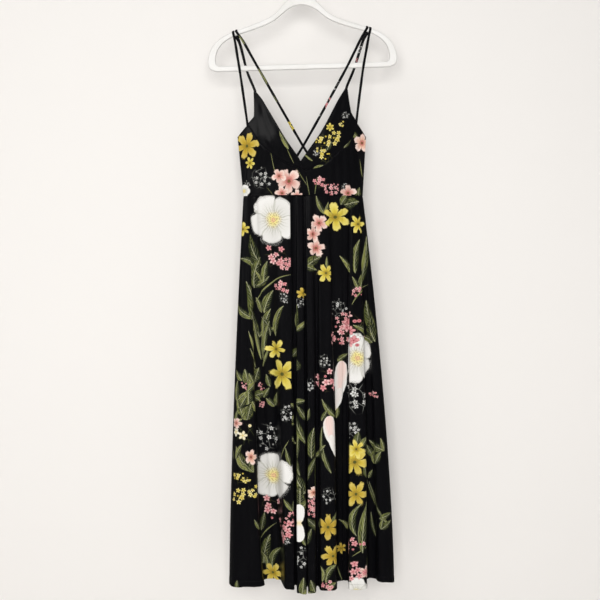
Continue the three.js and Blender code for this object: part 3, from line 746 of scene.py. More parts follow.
# Motifs of the print on each piece, seen from the front
motifTables = {
    "skirt_front": {
        "rose": [
            (-65.7, -621.8, 66, 10, 0.97, 0.2), (139.7, -960.4, 63.7, 35, 0.66, 0.3),
            (-63.7, -1247.1, 61.3, 50, 1, 0.35), (139.7, -1536.2, 39.2, 0, 1, 0.45),
        ],
        "petal": [
            (99, -1014, 47, 8, 0.42, -0.05, 0.8), (91, -1062, 30, 20, 0.42, 0, 0.45),
            (76, -1140, 37, -10, 0.5, 0.1, 0.8), (86, -1180, 33, -22, 0.33, 0.1, 0.4),
            (-2.5, -1342.6, 23, 0, 0.7, 0, 0.1), (-2.5, -1386.7, 23, 180, 0.7, 0, 0.15),
        ],
        "orchid": [
            (46.6, -629.7, 24.5, 20, 1, 0.3), (31.9, -656.6, 22.1, 80, 1, 0.5),
            (39.2, -690.9, 23.3, 190, 1, 0.2), (34, -1290, 16, 30, 1, 0.8),
            (161.7, -1484.7, 17.2, 0, 1, 0.4), (-120.1, -1203, 20.8, 60, 0.8, 0.9),
            (-156.8, -1119.7, 14.7, 0, 1, 0.3),
        ],
        "lily": [
            (85.8, -615, 36.8, 15, 1, 0.3), (63.7, -752.2, 24.5, 100, 1, 0.4),
            (142.1, -632.1, 24.5, 60, 0.8, 0.2), (7.4, -801.2, 14.7, 0, 1, 0.8),
            (-58.8, -938.4, 24.5, 30, 1, 0.5), (-44.1, -999.6, 41.7, 50, 1, 0.35),
            (134, -1215.2, 36.8, 20, 1, 0.6), (138, -1183.4, 24, 80, 1, 0.2),
            (137.2, -1293.6, 31.9, 0, 1, 0.7), (68.6, -1374.5, 31.9, 70, 1, 0.85),
            (80.9, -1445.5, 27, 30, 1, 0.9), (-66.2, -1484.7, 27, 10, 1, 0.65),
            (-139.7, -644.4, 17.2, 0, 1, 0.5), (100.5, -1425.9, 14.7, 50, 1, 0.95),
        ],
        "pink": [
            (-61.3, -713, 31.9, 0.3), (-34.3, -727.7, 19.6, 0.6), (-46.6, -788.9, 22.1, 0.4),
            (137.2, -796.3, 17.2, 0.2), (125, -889.4, 42, 0.5), (100.5, -905, 28, 0.7),
            (61.3, -1016.8, 31.9, 0.8), (82, -914, 16, 0.9), (108, -868, 20, 0.75),
            (178.9, -1051.1, 12.2, 0.4), (-66.2, -1323, 31.9, 0.25), (-41.7, -1379.4, 31.9, 0.55),
            (-19.6, -1350, 14.7, 0.35), (30, -1316, 17, 0.85), (34, -1338, 15, 0.7),
            (125, -1418.6, 24.5, 0.65), (129.9, -1479.8, 29.4, 0.15), (66.2, -1519, 19.6, 0.45),
            (-137.2, -1029, 9.8, 0.3), (-95.6, -1029, 9.8, 0.5), (-93.1, -1073.1, 9.8, 0.6),
        ],
        "cream": [(-137.2, -1146.6, 30.6, 0.5)],
        "gold": [
            (-149.5, -1254.4, 19.6, 0.4), (-151.9, -1296.1, 22.1, 0.6), (-117.6, -1288.7, 19.6, 0.3),
            (-129.9, -1259.3, 12.2, 0.8),
        ],
        "spray": [
            (93.1, -837.9, 24.5, 0.4), (58.8, -967.8, 19.6, 0.6), (24.5, -1024.1, 17.2, 0.3),
            (132.3, -1058.4, 44.1, 0.7), (122.5, -1136.8, 22.1, 0.2), (-31.9, -1095.2, 24.5, 0.5),
            (-78.4, -1151.5, 36.8, 0.8), (71.1, -1296.1, 22.1, 0.35), (2.5, -1450.4, 27, 0.65),
            (-34.3, -1408.8, 12.2, 0.45), (-24.5, -1237.2, 17.2, 0.25), (-39.2, -813.4, 14.7, 0.15),
            (-2.5, -825.7, 14.7, 0.55),
        ],
        "leaf": [
            (-112.7, -695.8, 36.8, -20, 0.3, 0.2, 0.2), (-107.8, -749.7, 34.3, 15, 0.3, 0.2, 0.35),
            (-120.1, -818.3, 41.7, -8, 0.25, -0.2, 0.3), (-110.3, -874.7, 31.9, -14, 0.2, 0.1, 0.4),
            (-85.8, -747.2, 22.1, 12, 0.3, 0.1, 0.6), (-66.2, -781.6, 56.4, 58, 0.035, 0.25, 0.9),
            (-78.4, -820.8, 27, 25, 0.33, 0.15, 0.5), (-83.3, -869.8, 29.4, 20, 0.28, 0.1, 0.45),
            (-56.4, -867.3, 34.3, 20, 0.24, 0.25, 0.7), (-11, -862.4, 29.4, 4, 0.28, 0.1, 0.55),
            (137.2, -710.5, 36.8, 8, 0.22, 0.15, 0.6), (156.8, -725.2, 56.4, 12, 0.13, -0.1, 0.75),
            (154.4, -766.9, 24.5, 20, 0.28, 0.1, 0.5), (151.9, -801.2, 34.3, 50, 0.05, 0.2, 0.9),
            (170.3, -862.4, 39.2, -15, 0.27, 0.15, 0.3), (49, -585.6, 22.1, -25, 0.22, 0.1, 0.65),
            (122.5, -580.7, 20.8, 80, 0.55, 0, 0.25), (34.3, -722.8, 22.1, 60, 0.45, 0.1, 0.3),
            (66.2, -725.2, 12.2, 0, 0.25, 0, 0.9), (-110.3, -938.4, 41.7, -20, 0.1, 0, 0.8),
            (-105.4, -911.4, 46.6, -9, 0.08, 0, 0.85), (-90.7, -911.4, 46.6, 3, 0.09, 0, 0.8),
            (-83.3, -906.5, 34.3, 12, 0.13, 0.1, 0.6), (-109, -962.9, 27, -28, 0.12, 0, 0.75),
            (-83.3, -955.5, 24.5, 22, 0.12, 0, 0.7), (-131.1, -1007, 17.2, -15, 0.5, 0, 0.5),
            (-106.6, -1002.1, 17.2, 20, 0.5, 0, 0.4), (-155.6, -1041.2, 22.1, 0, 0.34, 0.1, 0.65),
            (-126.2, -1053.5, 17.2, 0, 0.55, 0, 0.6), (-99.2, -1048.6, 15.9, 75, 0.5, 0, 0.35),
            (-60, -1060.9, 14.7, 15, 0.5, 0, 0.45), (-147, -1082.9, 17.2, -20, 0.45, 0, 0.4),
            (-125, -1092.7, 17.2, 15, 0.55, 0, 0.3), (-11, -945.7, 13.5, 45, 0.55, 0, 0.3),
            (-9.8, -977.6, 12.2, 0, 0.85, 0, 0.35), (-4.9, -1068.2, 18.4, 80, 0.35, 0, 0.5),
            (-4.9, -1127, 41.7, -22, 0.18, 0.1, 0.4), (4.9, -1095.2, 19.6, -35, 0.32, 0, 0.25),
            (-6.1, -1173.6, 31.9, 4, 0.13, 0, 0.6), (29.4, -1168.7, 31.9, 5, 0.3, 0.1, 0.3),
            (53.9, -1171.1, 36.8, -2, 0.11, 0.1, 0.5), (71.1, -1085.4, 25.7, -40, 0.22, 0.15, 0.6),
            (140.9, -1156.4, 13.5, 10, 0.55, 0, 0.3), (185, -1176, 22.1, -60, 0.36, 0.1, 0.5),
            (178.9, -1198.1, 13.5, 20, 0.55, 0, 0.4), (105.4, -958, 14.7, 60, 0.36, 0, 0.5),
            (174, -894.3, 24.5, -15, 0.42, 0.1, 0.15), (-144.6, -1207.9, 29.4, -30, 0.32, 0.1, 0.75),
            (-29.4, -1203, 19.6, -15, 0.22, 0, 0.5), (-9.8, -1212.8, 31.9, -12, 0.16, 0.1, 0.4),
            (-2.5, -1266.7, 24.5, -30, 0.5, 0.1, 0.65), (0, -1305.9, 22.1, 0, 0.48, 0, 0.12),
            (29.4, -1227.5, 31.9, 25, 0.16, 0.1, 0.3), (41.7, -1229.9, 44.1, 3, 0.11, 0, 0.35),
            (64.9, -1212.8, 27, -18, 0.16, 0.1, 0.5), (-29.4, -1320.6, 15.9, -40, 0.28, 0, 0.7),
            (-90.7, -1359.8, 19.6, 15, 0.32, 0, 0.2), (-83.3, -1425.9, 31.9, 18, 0.32, 0.1, 0.25),
            (-60, -1445.5, 30.6, 32, 0.22, 0.4, 0.5), (-77.2, -1379.4, 27, 50, 0.05, 0.1, 0.9),
            (134.8, -1354.9, 34.3, 10, 0.22, 0.45, 0.55), (158, -1374.5, 53.9, 8, 0.17, 0.1, 0.55),
            (183.8, -1310.8, 44.1, -25, 0.08, 0.1, 0.2), (174, -1288.7, 29.4, -20, 0.07, 0, 0.3),
            (178.9, -1367.1, 27, -12, 0.13, 0.1, 0.2), (211.9, -1347.5, 15.9, 75, 0.36, 0, 0.4),
            (213.2, -1369.6, 15.9, 60, 0.4, 0, 0.35), (31.9, -1367.1, 18.4, -50, 0.4, 0, 0.15),
            (20.8, -1399, 18.4, 20, 0.32, 0, 0.2), (84.5, -1354.9, 15.9, 25, 0.28, 0, 0.5),
            (76, -1484.7, 24.5, 38, 0.27, 0.4, 0.6), (7.4, -1521.5, 19.6, 5, 0.4, 0, 0.5),
            (33.1, -1523.9, 17.2, -20, 0.42, 0, 0.3), (78.4, -1519, 12.2, 60, 0.5, 0, 0.45),
            (-154.4, -1516.6, 9.8, 0, 0.5, 0, 0.5), (149.5, -1433.2, 22.1, 60, 0.05, 0, 0.9),
            (166.6, -1457.8, 17.2, 5, 0.12, 0, 0.5), (95.6, -1482.2, 19.6, -20, 0.08, 0, 0.6),
            (-39.2, -1183.4, 22.1, 30, 0.06, 0, 0.8), (14.7, -1075.6, 24.5, 10, 0.05, 0, 0.7),
            (-151, -1003, 14, -40, 0.45, 0, 0.6), (-117, -1030, 14, 45, 0.5, 0, 0.75),
            (-140, -1068, 15, 30, 0.5, 0, 0.55), (-110, -1078, 14, -30, 0.5, 0, 0.7),
            (-83, -1045, 13, 35, 0.45, 0, 0.5), (-78, -1015, 14, -15, 0.4, 0, 0.35),
            (-72, -1068, 13, -50, 0.45, 0, 0.65), (-157, -1105, 15, 10, 0.45, 0, 0.6),
            (158, -1166, 14, 40, 0.5, 0, 0.6), (170, -1186, 15, -30, 0.45, 0, 0.35),
            (118, -1172, 13, -45, 0.5, 0, 0.5), (152, -1190, 13, 70, 0.45, 0, 0.25),
            (190, -1205, 15, 30, 0.42, 0, 0.55), (162, -1238, 15, -20, 0.4, 0, 0.3),
            (-152, -1190, 17, 25, 0.3, 0.1, 0.7), (-128, -1228, 16, -50, 0.3, 0, 0.4),
            (60, -1100, 14, 30, 0.3, 0, 0.35), (-18, -1110, 15, 50, 0.35, 0, 0.6),
        ],
    },
    "midriff_left": {
        "orchid": [
            (-27, -526.8, 34.3, 25, 0.9, 0.35), (-51.5, -514.5, 19.6, 120, 1, 0.55),
            (-44.1, -556.2, 19.6, 200, 1, 0.45), (-7.4, -563.5, 17.2, 280, 1, 0.4),
        ],
        "lily": [(-129.9, -441, 34.3, 40, 0.9, 0.75), (-122.5, -482.7, 15.9, 0, 0.8, 0.3)],
        "spray": [(-95.6, -519.4, 30.6, 0.6), (-129.9, -534.1, 9.8, 0.9)],
        "rose": [(-137.2, -551.2, 17.2, 0, 1, 0.3)],
        "leaf": [
            (-66.2, -482.7, 29.4, -12, 0.035, 0, 0.95), (17.2, -499.8, 22.1, -40, 0.04, 0, 0.8),
            (4.9, -517, 24.5, -32, 0.04, 0, 0.75), (-73.5, -551.2, 12.2, -40, 0.05, 0, 0.8),
            (19.6, -539, 24.5, -10, 0.06, 0, 0.5),
        ],
    },
    "cup_left": {
        "leaf": [(-39.2, -426.3, 24.5, -28, 0.24, 0, 0.85), (-24.5, -463.1, 22.1, -25, 0.05, 0, 0.9)],
    },
    "midriff_right": {
        "orchid": [(151.9, -433.7, 24.5, 50, 0.9, 0.9), (117.6, -556.2, 23.3, 0, 1, 0.5)],
        "leaf": [
            (132.3, -411.6, 13.5, -50, 0.5, 0, 0.7), (116.4, -433.7, 14.7, 35, 0.4, 0, 0.8),
            (143.3, -556.2, 14.7, 10, 0.5, 0, 0.35), (149.5, -494.9, 22.1, -8, 0.05, 0, 0.9),
            (39.2, -539, 22.1, 8, 0.06, 0, 0.6),
        ],
        "pink": [(49, -531.7, 19.6, 0.4), (76, -548.8, 17.2, 0.7), (88.2, -541.5, 9.8, 0.3)],
        "spray": [(110.3, -541.5, 12.2, 0.5)],
    },
    "cup_right": {
        "gold": [
            (53.9, -428.8, 20.8, 0.4), (83.3, -419, 20.8, 0.6), (100.5, -387.1, 9.8, 0.3),
            (63.7, -470.4, 19.6, 0.5), (51.5, -450.8, 12.2, 0.8),
        ],
        "lily": [(73.5, -394.5, 11, 20, 1, 0.3)],
        "spray": [(110.3, -365.1, 11, 0.5), (39.2, -455.7, 9.8, 0.3)],
        "leaf": [
            (44.1, -494.9, 14.7, 60, 0.45, 0, 0.6), (19.6, -468, 14.7, -50, 0.2, 0, 0.9),
            (71.1, -441, 12.2, 30, 0.5, 0, 0.12),
        ],
    },
    "bodice_back": {
        "rose": [(-40, -541, 27, 15, 1, 0.3)],
        "lily": [(68, -535, 21, 40, 1, 0.4), (-112, -466, 15, 10, 0.9, 0.6)],
        "orchid": [(112, -486, 20, 30, 1, 0.6), (96, -512, 15, 100, 1, 0.3)],
        "pink": [(22, -548, 15, 0.5), (-88, -520, 14, 0.7)],
        "leaf": [
            (-68, -524, 17, -40, 0.28, 0.1, 0.4), (-8, -540, 19, 35, 0.25, 0.1, 0.6),
            (44, -527, 16, -55, 0.26, 0.1, 0.3), (-106, -500, 18, 15, 0.24, 0.1, 0.7),
            (132, -450, 15, -10, 0.22, 0, 0.5), (-126, -540, 16, 5, 0.3, 0, 0.3),
        ],
        "spray": [(132, -532, 17, 0.4), (-136, -448, 12, 0.7)],
    },
    "strap_left_outer": {
        "leaf": [(-139.7, -188.7, 8, 0, 0.3, 0, 0.45)],
    },
    "strap_left_crossed": {
        "leaf": [
            (-143, -180, 13, 0, 0.3, 0, 0.75), (-96, -262, 12, 0, 0.3, 0, 0.8),
            (-86, -280, 12, 180, 0.3, 0, 0.6), (-60, -325, 9, 0, 0.25, 0, 0.3),
        ],
        "lily": [(-25.7, -386, 7, 0, 1, 0.4), (-20, -397, 6, 40, 1, 0.3)],
    },
    "strap_right_outer": {
        "pink": [(140, -230, 5, 0.5)],
        "spray": [(148, -200, 14, 0.3)],
    },
    "strap_right_crossed": {
        "spray": [(89, -291, 18, 0.5), (38, -366, 12, 0.2)],
        "pink": [(60, -332, 15, 0.3)],
    },
}


# The back of the skirt has the same motifs in another order: all of them slide down by one shift, those
# that pass the hem start again at the top, and each keeps its share of the skirt's width
skirtSides = {"waist": (-138.6, 153.6), "hem": (-172.7, 230.3), "length": 942.5}


def backMotifs(motifs, shift=310, top=-590, tall=940):
    def spread(z):
        fall = (cloth["waistZ"] - z) / skirtSides["length"]
        left, right = (mix(waist, hem, fall) for waist, hem in zip(skirtSides["waist"], skirtSides["hem"]))
        return (left + right) / 2, (right - left) / 2

    moved = {}
    for kind, rows in motifs.items():
        moved[kind] = []
        for x, z, *others in rows:
            newZ = top - (top - z + shift) % tall
            middle, half = spread(z)
            newMiddle, newHalf = spread(newZ)
            moved[kind].append((newMiddle - (x - middle) / half * newHalf, newZ, *others))
    return moved


# Leaves grow a little over their measured size, and each broad one gets a smaller one from the same stalk
leafGrowth = {
    "length": 1.14, "width": 1.12, "broad": 0.2, "least": 16, "besideSize": 0.66, "besideTurn": 46,
    "tone": 0.22,
}


def fullerLeaves(rows):
    grown = []
    for number, (x, z, size, turn, slim, bend, tone) in enumerate(rows):
        size, slim = size * leafGrowth["length"], slim * leafGrowth["width"]
        grown.append((x, z, size, turn, slim, bend, tone))
        if slim >= leafGrowth["broad"] and size > leafGrowth["least"]:
            turned = turn + leafGrowth["besideTurn"] * (1 if number % 2 else -1)
            angle, newAngle = math.radians(turn), math.radians(turned)
            small = size * leafGrowth["besideSize"]
            baseX, baseZ = x - size * math.sin(angle), z - size * math.cos(angle)
            newX, newZ = baseX + small * math.sin(newAngle), baseZ + small * math.cos(newAngle)
            newTone = (tone + leafGrowth["tone"]) % 0.9 + 0.05
            grown.append((newX, newZ, small, turned, slim, -bend, newTone))
    return grown


motifTables["skirt_front"]["leaf"] = fullerLeaves(motifTables["skirt_front"]["leaf"])
motifTables["skirt_back"] = backMotifs(motifTables["skirt_front"])


# Skirt front: each row is the crest or the bottom of a fold, at the waist and at the hem. Reach says
# where it moves across most, and round how squarely the cloth turns on its way to the next row.
frontFolds = [
    (-138.6, 0, -172.7, 0, -1506, 1.5, 0.8),
    (-133.8, -4.6, -146, -66, -1502, 1.1, 0.5),
    (-131, -5.6, -130, -65, -1501, 1, 0.5),
    (-128.5, -7.6, -110, -70, -1500, 0.6, 1.5),
    (-117, -7.8, -64, -20, -1494, 0.6, 0.6),
    (-92, -17.4, -50, -26, -1495, 0.8, 0.3),
    (-38, -27.6, -30, -84, -1501, 0.8, 0.3),
    (-30, -28.6, -15, -85, -1502, 1, 1.5),
    (-13, -21.5, -10, -50, -1501, 1.3, 1.2),
    (-5, -24.2, -5.5, -88, -1509, 1.3, 0.4),
    (2.5, -23.6, 14, -91, -1511, 1.3, 1.3),
    (9, -20.2, 17, -54, -1503, 1.5, 1.4),
    (16.5, -27.6, 20.5, -93, -1508, 1.8, 0.4),
    (24, -28.9, 34, -93, -1507, 2, 0.9),
    (36, -28, 41.5, -60, -1500, 2, 0.8),
    (48, -28.2, 53, -87, -1503, 1.6, 0.5),
    (58, -27.8, 76, -87, -1503, 1.6, 1.5),
    (78, -21.2, 98, -27, -1498, 1.6, 0.6),
    (97, -20.6, 101, -28, -1497, 1.2, 0.8),
    (107.5, -17.6, 105, -25, -1497, 1, 0.8),
    (115, -15.4, 110, -27, -1497, 1, 0.8),
    (121, -10.6, 113.5, -26, -1497, 2, 2.2),
    (130, -12.6, 119.5, -78, -1504, 2, 0.4),
    (139, -9.4, 150, -78, -1504, 2, 1.2),
    (148, -4.4, 171, -14, -1495, 2.5, 0.8),
    (151.5, -3, 202.4, -38, -1498, 1.5, 0.8),
    (153.6, 0, 230.3, 0, -1506, 1.5, 0.8),
]
backFolds = [
    (153.6, 0, 230.3, 0, -1506, 1.5, 0.8),
    (141, 5, 198, 58, -1500, 1.5, 0.9),
    (118, 10, 156, 14, -1496, 1.5, 0.7),
    (86, 18, 112, 78, -1502, 1.5, 1.1),
    (60, 15, 74, 20, -1497, 1.5, 0.6),
    (27, 21, 38, 86, -1504, 1.5, 0.9),
    (0, 17, -2, 22, -1498, 1.5, 0.8),
    (-30, 21, -40, 84, -1503, 1.5, 1.2),
    (-62, 14, -78, 18, -1497, 1.5, 0.7),
    (-98, 15, -122, 66, -1501, 1.5, 0.9),
    (-138.6, 0, -172.7, 0, -1506, 1.5, 0.8),
]
skirt = {
    "length": 940, "columns": 235, "rowStep": 5.6, "fineStep": 1.7, "hemBand": 14, "hemRise": 0.5,
    "groove": 0.45, "waistTuck": 0.8, "underlap": 3, "underDepth": 2.1,
}
# Creases of the skirt's front and back: from (x, z) to (x, z), width, rise outwards
frontCreases = [
    (-104, -575, -101, -690, 7, -0.83), (-84, -566, -80, -640, 5.6, -0.68),
    (-62, -566, -63, -625, 7, -0.52), (88, -566, 92, -690, 6.3, 0.75), (98, -640, 101, -830, 4.5, -0.98),
    (70, -700, 78, -900, 5.6, 0.68), (56, -760, 60, -980, 5.6, -0.75), (30, -800, 33, -1080, 5.6, 0.75),
    (-128, -640, -133, -860, 5.6, -0.75), (-146, -1180, -150, -1440, 6.3, 1.05),
    (-124, -1250, -127, -1470, 5.6, 0.9), (-137, -1210, -138, -1470, 4.8, -0.83),
    (-70, -820, -66, -1010, 8.4, 0.68), (-50, -900, -44, -1120, 6.3, -0.68),
    (146, -1220, 150, -1420, 7, -0.68), (128, -1100, 126, -1330, 7, 0.68),
    (190, -1190, 198, -1440, 7, -0.75), (176, -960, 186, -1180, 7, -0.6),
    (-110, -1440, -118, -1500, 8.4, -0.68), (-140, -1470, -133, -1503, 7, 0.75),
    (60, -1380, 63, -1490, 5.6, -0.83), (140, -1420, 134, -1495, 7, 0.68),
    (206, -1440, 199, -1498, 7, 0.68), (-24, -1240, -22, -1450, 5.6, -0.68),
    (-96, -1130, -92, -1290, 7, 0.6), (8, -1180, 12, -1400, 4.2, 0.6),
]
backCreases = [
    (110, -570, 118, -700, 6, -0.94), (72, -566, 76, -650, 4.8, 0.77), (44, -566, 42, -640, 4.3, -0.77),
    (10, -570, 8, -720, 4.8, 0.85), (-16, -566, -18, -640, 4.1, -0.77), (-48, -566, -52, -690, 4.8, 0.85),
    (-80, -566, -86, -660, 5.4, -0.85), (-118, -580, -128, -740, 6, 0.77),
    (150, -880, 168, -1150, 6, -0.85), (96, -900, 104, -1180, 6, 0.85), (30, -940, 34, -1200, 6, -0.77),
    (-34, -820, -38, -1120, 4.8, 0.94), (-104, -930, -112, -1230, 6, -0.85),
    (-60, -1180, -66, -1430, 4.8, 0.68), (120, -1260, 124, -1470, 6, -0.77),
    (-130, -1270, -134, -1470, 6, 0.85), (52, -1330, 50, -1480, 4.8, 0.77),
    (190, -1240, 198, -1450, 6, 0.77),
]
skirtWaves = [(90, 700, 0.4, 0.5), (47, -900, 1.9, 0.18), (140, 260, 3.1, 0.5)]
puckerWaves = [(11, 60, 0.3, 0.35), (17, -45, 2.1, 0.4), (7.3, 90, 4.4, 0.18)]


# Points of a skirt's side: place counts along the fold rows, down is the share of the way to the hem
def skirtPoints(folds, place, down):
    table = np.array(folds, float)
    last = len(table) - 1
    row = np.minimum(place.astype(int), last - 1)
    share = place - row
    start, end = table[row], table[row + 1]

    def knot(fold):
        waistX, waistY, hemX, hemY, hemZ, reach, _ = np.moveaxis(fold, -1, 0)
        across = 1 - (1 - down) ** reach
        top = cloth["waistZ"] - cloth["seamGap"]
        return mix(waistX, hemX, across), mix(waistY, hemY, down), mix(top, hemZ, down)

    (fromX, fromY, fromZ), (toX, toY, toZ) = knot(start), knot(end)
    ease = (1 - np.cos(np.pi * share)) / 2
    rising, falling = np.sin(np.pi / 2 * share), 1 - np.cos(np.pi / 2 * share)
    shareX = share + start[..., 6] * np.sin(2 * np.pi * share) / (2 * np.pi)
    shareX = np.where(row == 0, falling, np.where(row == last - 1, rising, shareX))
    shareY = np.where(row == 0, rising, np.where(row == last - 1, falling, ease))
    return np.stack([mix(fromX, toX, shareX), mix(fromY, toY, shareY), mix(fromZ, toZ, ease)], -1)


# More columns where the cloth turns sharply, as found at a few heights: share of the way down and weight
columnSearch = {
    "places": 6000, "heights": [(0.1, 0.5), (0.55, 1), (1, 1)], "blur": 25, "most": 3.5, "gain": 14,
}


def skirtColumns(folds, count):
    place = np.linspace(0, len(folds) - 1, columnSearch["places"])
    weight = np.zeros(len(place) - 1)
    for down, part in columnSearch["heights"]:
        line = skirtPoints(folds, place, np.full_like(place, down))[:, :2]
        step = np.diff(line, axis=0)
        length = np.linalg.norm(step, axis=1)
        turn = np.unwrap(np.arctan2(step[:, 1], step[:, 0]))
        bend = np.abs(np.gradient(turn)) / np.maximum(length, 1e-6)
        bend = np.convolve(bend, np.ones(columnSearch["blur"]) / columnSearch["blur"], "same")
        weight += part * length * (1 + np.minimum(columnSearch["most"], columnSearch["gain"] * bend))
    run = np.r_[0, np.cumsum(weight)]
    return np.interp(np.linspace(0, run[-1], count), run, place)


# Edges of the sharp folds as (x, z) from the front: the print is broken there, its middle part hidden
foldEdges = [
    [(-24.5, -573), (-21, -892), (-22, -1063), (-14.7, -1357), (-8.6, -1529)],
    [(19.6, -573), (17.2, -892), (18.4, -1529)],
    [(76, -892), (86.7, -1063), (86.7, -1198), (91.9, -1529)],
    [(132, -640), (127, -830)],
    [(118.8, -905), (118, -1022)],
    [(113, -1380), (112.7, -1529)],
    [(-103.9, -1176), (-103.9, -1308), (-89.4, -1529)],
]


# Rows of the skirt, closer together at the waist seam and in the hem's band
def skirtRows():
    length = skirt["length"]
    fine, step = skirt["fineStep"], skirt["rowStep"]
    top = np.arange(-skirt["underlap"], 14, fine)
    bottom = length - np.arange(0, 26, fine)[::-1]
    middle = np.linspace(top[-1], bottom[0], int((bottom[0] - top[-1]) / step) + 1)
    return np.r_[top[:-1], middle, bottom[1:]] / length


def makeSkirt(name, folds, creases, side):
    place = skirtColumns(folds, skirt["columns"])
    down = skirtRows()
    grid = skirtPoints(folds, *np.meshgrid(place, down))
    grid[..., 1] += -side * cloth["sideGap"]
    x, z = grid[..., 0], grid[..., 2]
    normal = gridNormals(grid)
    fromHem = (1 - down)[:, None] * skirt["length"] * np.ones_like(x)
    fromWaist = down[:, None] * skirt["length"] * np.ones_like(x)
    fromSide = np.minimum(place, place[-1] - place)[None, :] * np.ones_like(x)
    rise = creaseRise(creases, x, z) + unevenness(x, z, skirtWaves) * smooth(0, 90, fromWaist)
    rise += unevenness(x, z, puckerWaves) * bump(fromHem, 16)
    rise *= smooth(0, 0.8, fromSide)
    rise += skirt["hemRise"] * (1 - smooth(skirt["hemBand"] - 1.5, skirt["hemBand"] + 0.5, fromHem))
    rise -= skirt["groove"] * bump(fromHem - skirt["hemBand"], 1.2)
    rise -= skirt["waistTuck"] * bump(np.maximum(fromWaist, 0), 2.4)
    rise -= skirt["underDepth"] * (1 - smooth(-1, 2, fromWaist)) * smooth(0, 0.3, fromSide)
    outer = grid + normal * rise[..., None]
    inner = outer - gridNormals(outer) * cloth["wall"]
    return clothPiece(name, outer, inner, side, cuts=foldEdges if side > 0 else ()), outer


# Bodice: edges of the front pieces as (x, z), from the side of the dress to its middle
frontEdges = {
    "left": {
        "wing": [(-152.9, -419), (-141, -405), (-128.4, -391)],
        "armhole": [(-128.4, -388.5), (-113, -371.5), (-109.1, -361.7), (-112.4, -329.8), (-113.4, -310)],
        "neckline": [
            (-105.6, -311.7), (-93.2, -327.5), (-77.2, -354.4), (-36.4, -425.7), (0, -479.5), (7.6, -500),
        ],
        "underCup": [
            (-128.4, -391), (-114.8, -412.7), (-99.7, -436.7), (-74.2, -460), (-48.4, -479.5), (8.5, -503.7),
        ],
        "waistEnd": 29.1,
    },
    "right": {
        "wing": [(161.5, -419), (149.5, -401), (137.9, -383.7)],
        "armhole": [(137.4, -381.2), (123.5, -356.9), (119.7, -329.8), (116.3, -303.4)],
        "neckline": [
            (109, -303.4), (92.6, -330.9), (50.9, -411), (20.8, -454.1), (2.4, -480.2), (-13.6, -503),
        ],
        "underCup": [
            (137.9, -383.7), (133.4, -414.8), (106.5, -446.4), (83.6, -469.9), (53.2, -494), (-14.8, -506.6),
        ],
        "waistEnd": -33.9,
    },
}
# Gathers below the cups: place at the top, place at the waist, width and rise
gathers = [
    (124, 138, 4.4, 1.5), (116, 127, 2.6, -0.9), (108, 118, 4.4, 1.9), (99, 107, 2.8, -1), (92, 98, 5, 1.7),
    (82, 87, 3, -0.8), (74, 78, 5, 1.2), (62, 64, 4, -0.5), (-60, -66, 6, 1.1), (-73, -80, 3.4, -0.8),
    (-84, -92, 5, 1.4), (-96, -105, 3.4, -0.8), (-106, -116, 5, 1.2), (-34, -38, 5, 0.6),
]
gatherSpan = {"top": -400, "fadeFrom": 0.25, "fadeTo": 0.85}
bodiceCreases = [
    (-107, -338, -96, -430, 5.8, 0.63), (-100, -330, -70, -428, 4.6, -0.84),
    (-92, -340, -62, -414, 4.6, 0.5), (-75, -395, -50, -478, 5.2, -0.67), (-60, -400, -34, -470, 5.2, 0.42),
    (-86, -432, -70, -462, 3.4, -0.59), (-79, -428, -63, -458, 3, 0.55),
    (-118, -392, -104, -440, 4.6, 0.42), (-40, -440, -14, -486, 4.1, -0.42),
    (112, -318, 100, -400, 4.6, 0.59), (106, -326, 80, -392, 4.6, -0.84), (98, -340, 66, -402, 4.6, 0.5),
    (122, -350, 124, -420, 5.1, -0.55), (112, -380, 108, -438, 5.2, 0.5), (88, -400, 62, -462, 5.2, -0.5),
    (60, -412, 38, -470, 4.6, 0.42), (-30, -496, 18, -552, 3.9, -0.42), (-44, -500, 2, -556, 4.1, 0.38),
    (6, -500, 24, -556, 3, 0.42), (-90, -520, -84, -560, 5.8, -0.34), (128, -420, 132, -470, 4.6, 0.38),
    (-118, -446, -112, -500, 5.2, 0.38), (-132, -430, -126, -470, 4.6, -0.34),
    (96, -470, 98, -500, 3.4, -0.42),
]
bodiceWaves = [(60, 110, 1.2, 0.3), (33, -75, 4.1, 0.18), (90, 60, 2.4, 0.25)]
bodice = {
    "rows": 64, "armColumns": 24, "neckColumns": 84, "wingColumns": 14, "edgeBand": 6, "edgeRise": 0.35,
    "seamTuck": 0.75, "seamWide": 2.6, "underlap": 3, "underDepth": 2.3, "sideRoll": 6,
    "calmEdge": 14,
}


# A line moved sideways by a distance
def besideLine(points, distance):
    run = unit(np.gradient(points, axis=0))
    return points + distance * np.stack([-run[:, 1], run[:, 0]], 1)


def seamUnderCup(side):
    return evenPoints(frontEdges[side]["underCup"], bodice["armColumns"] + 1 + bodice["neckColumns"])


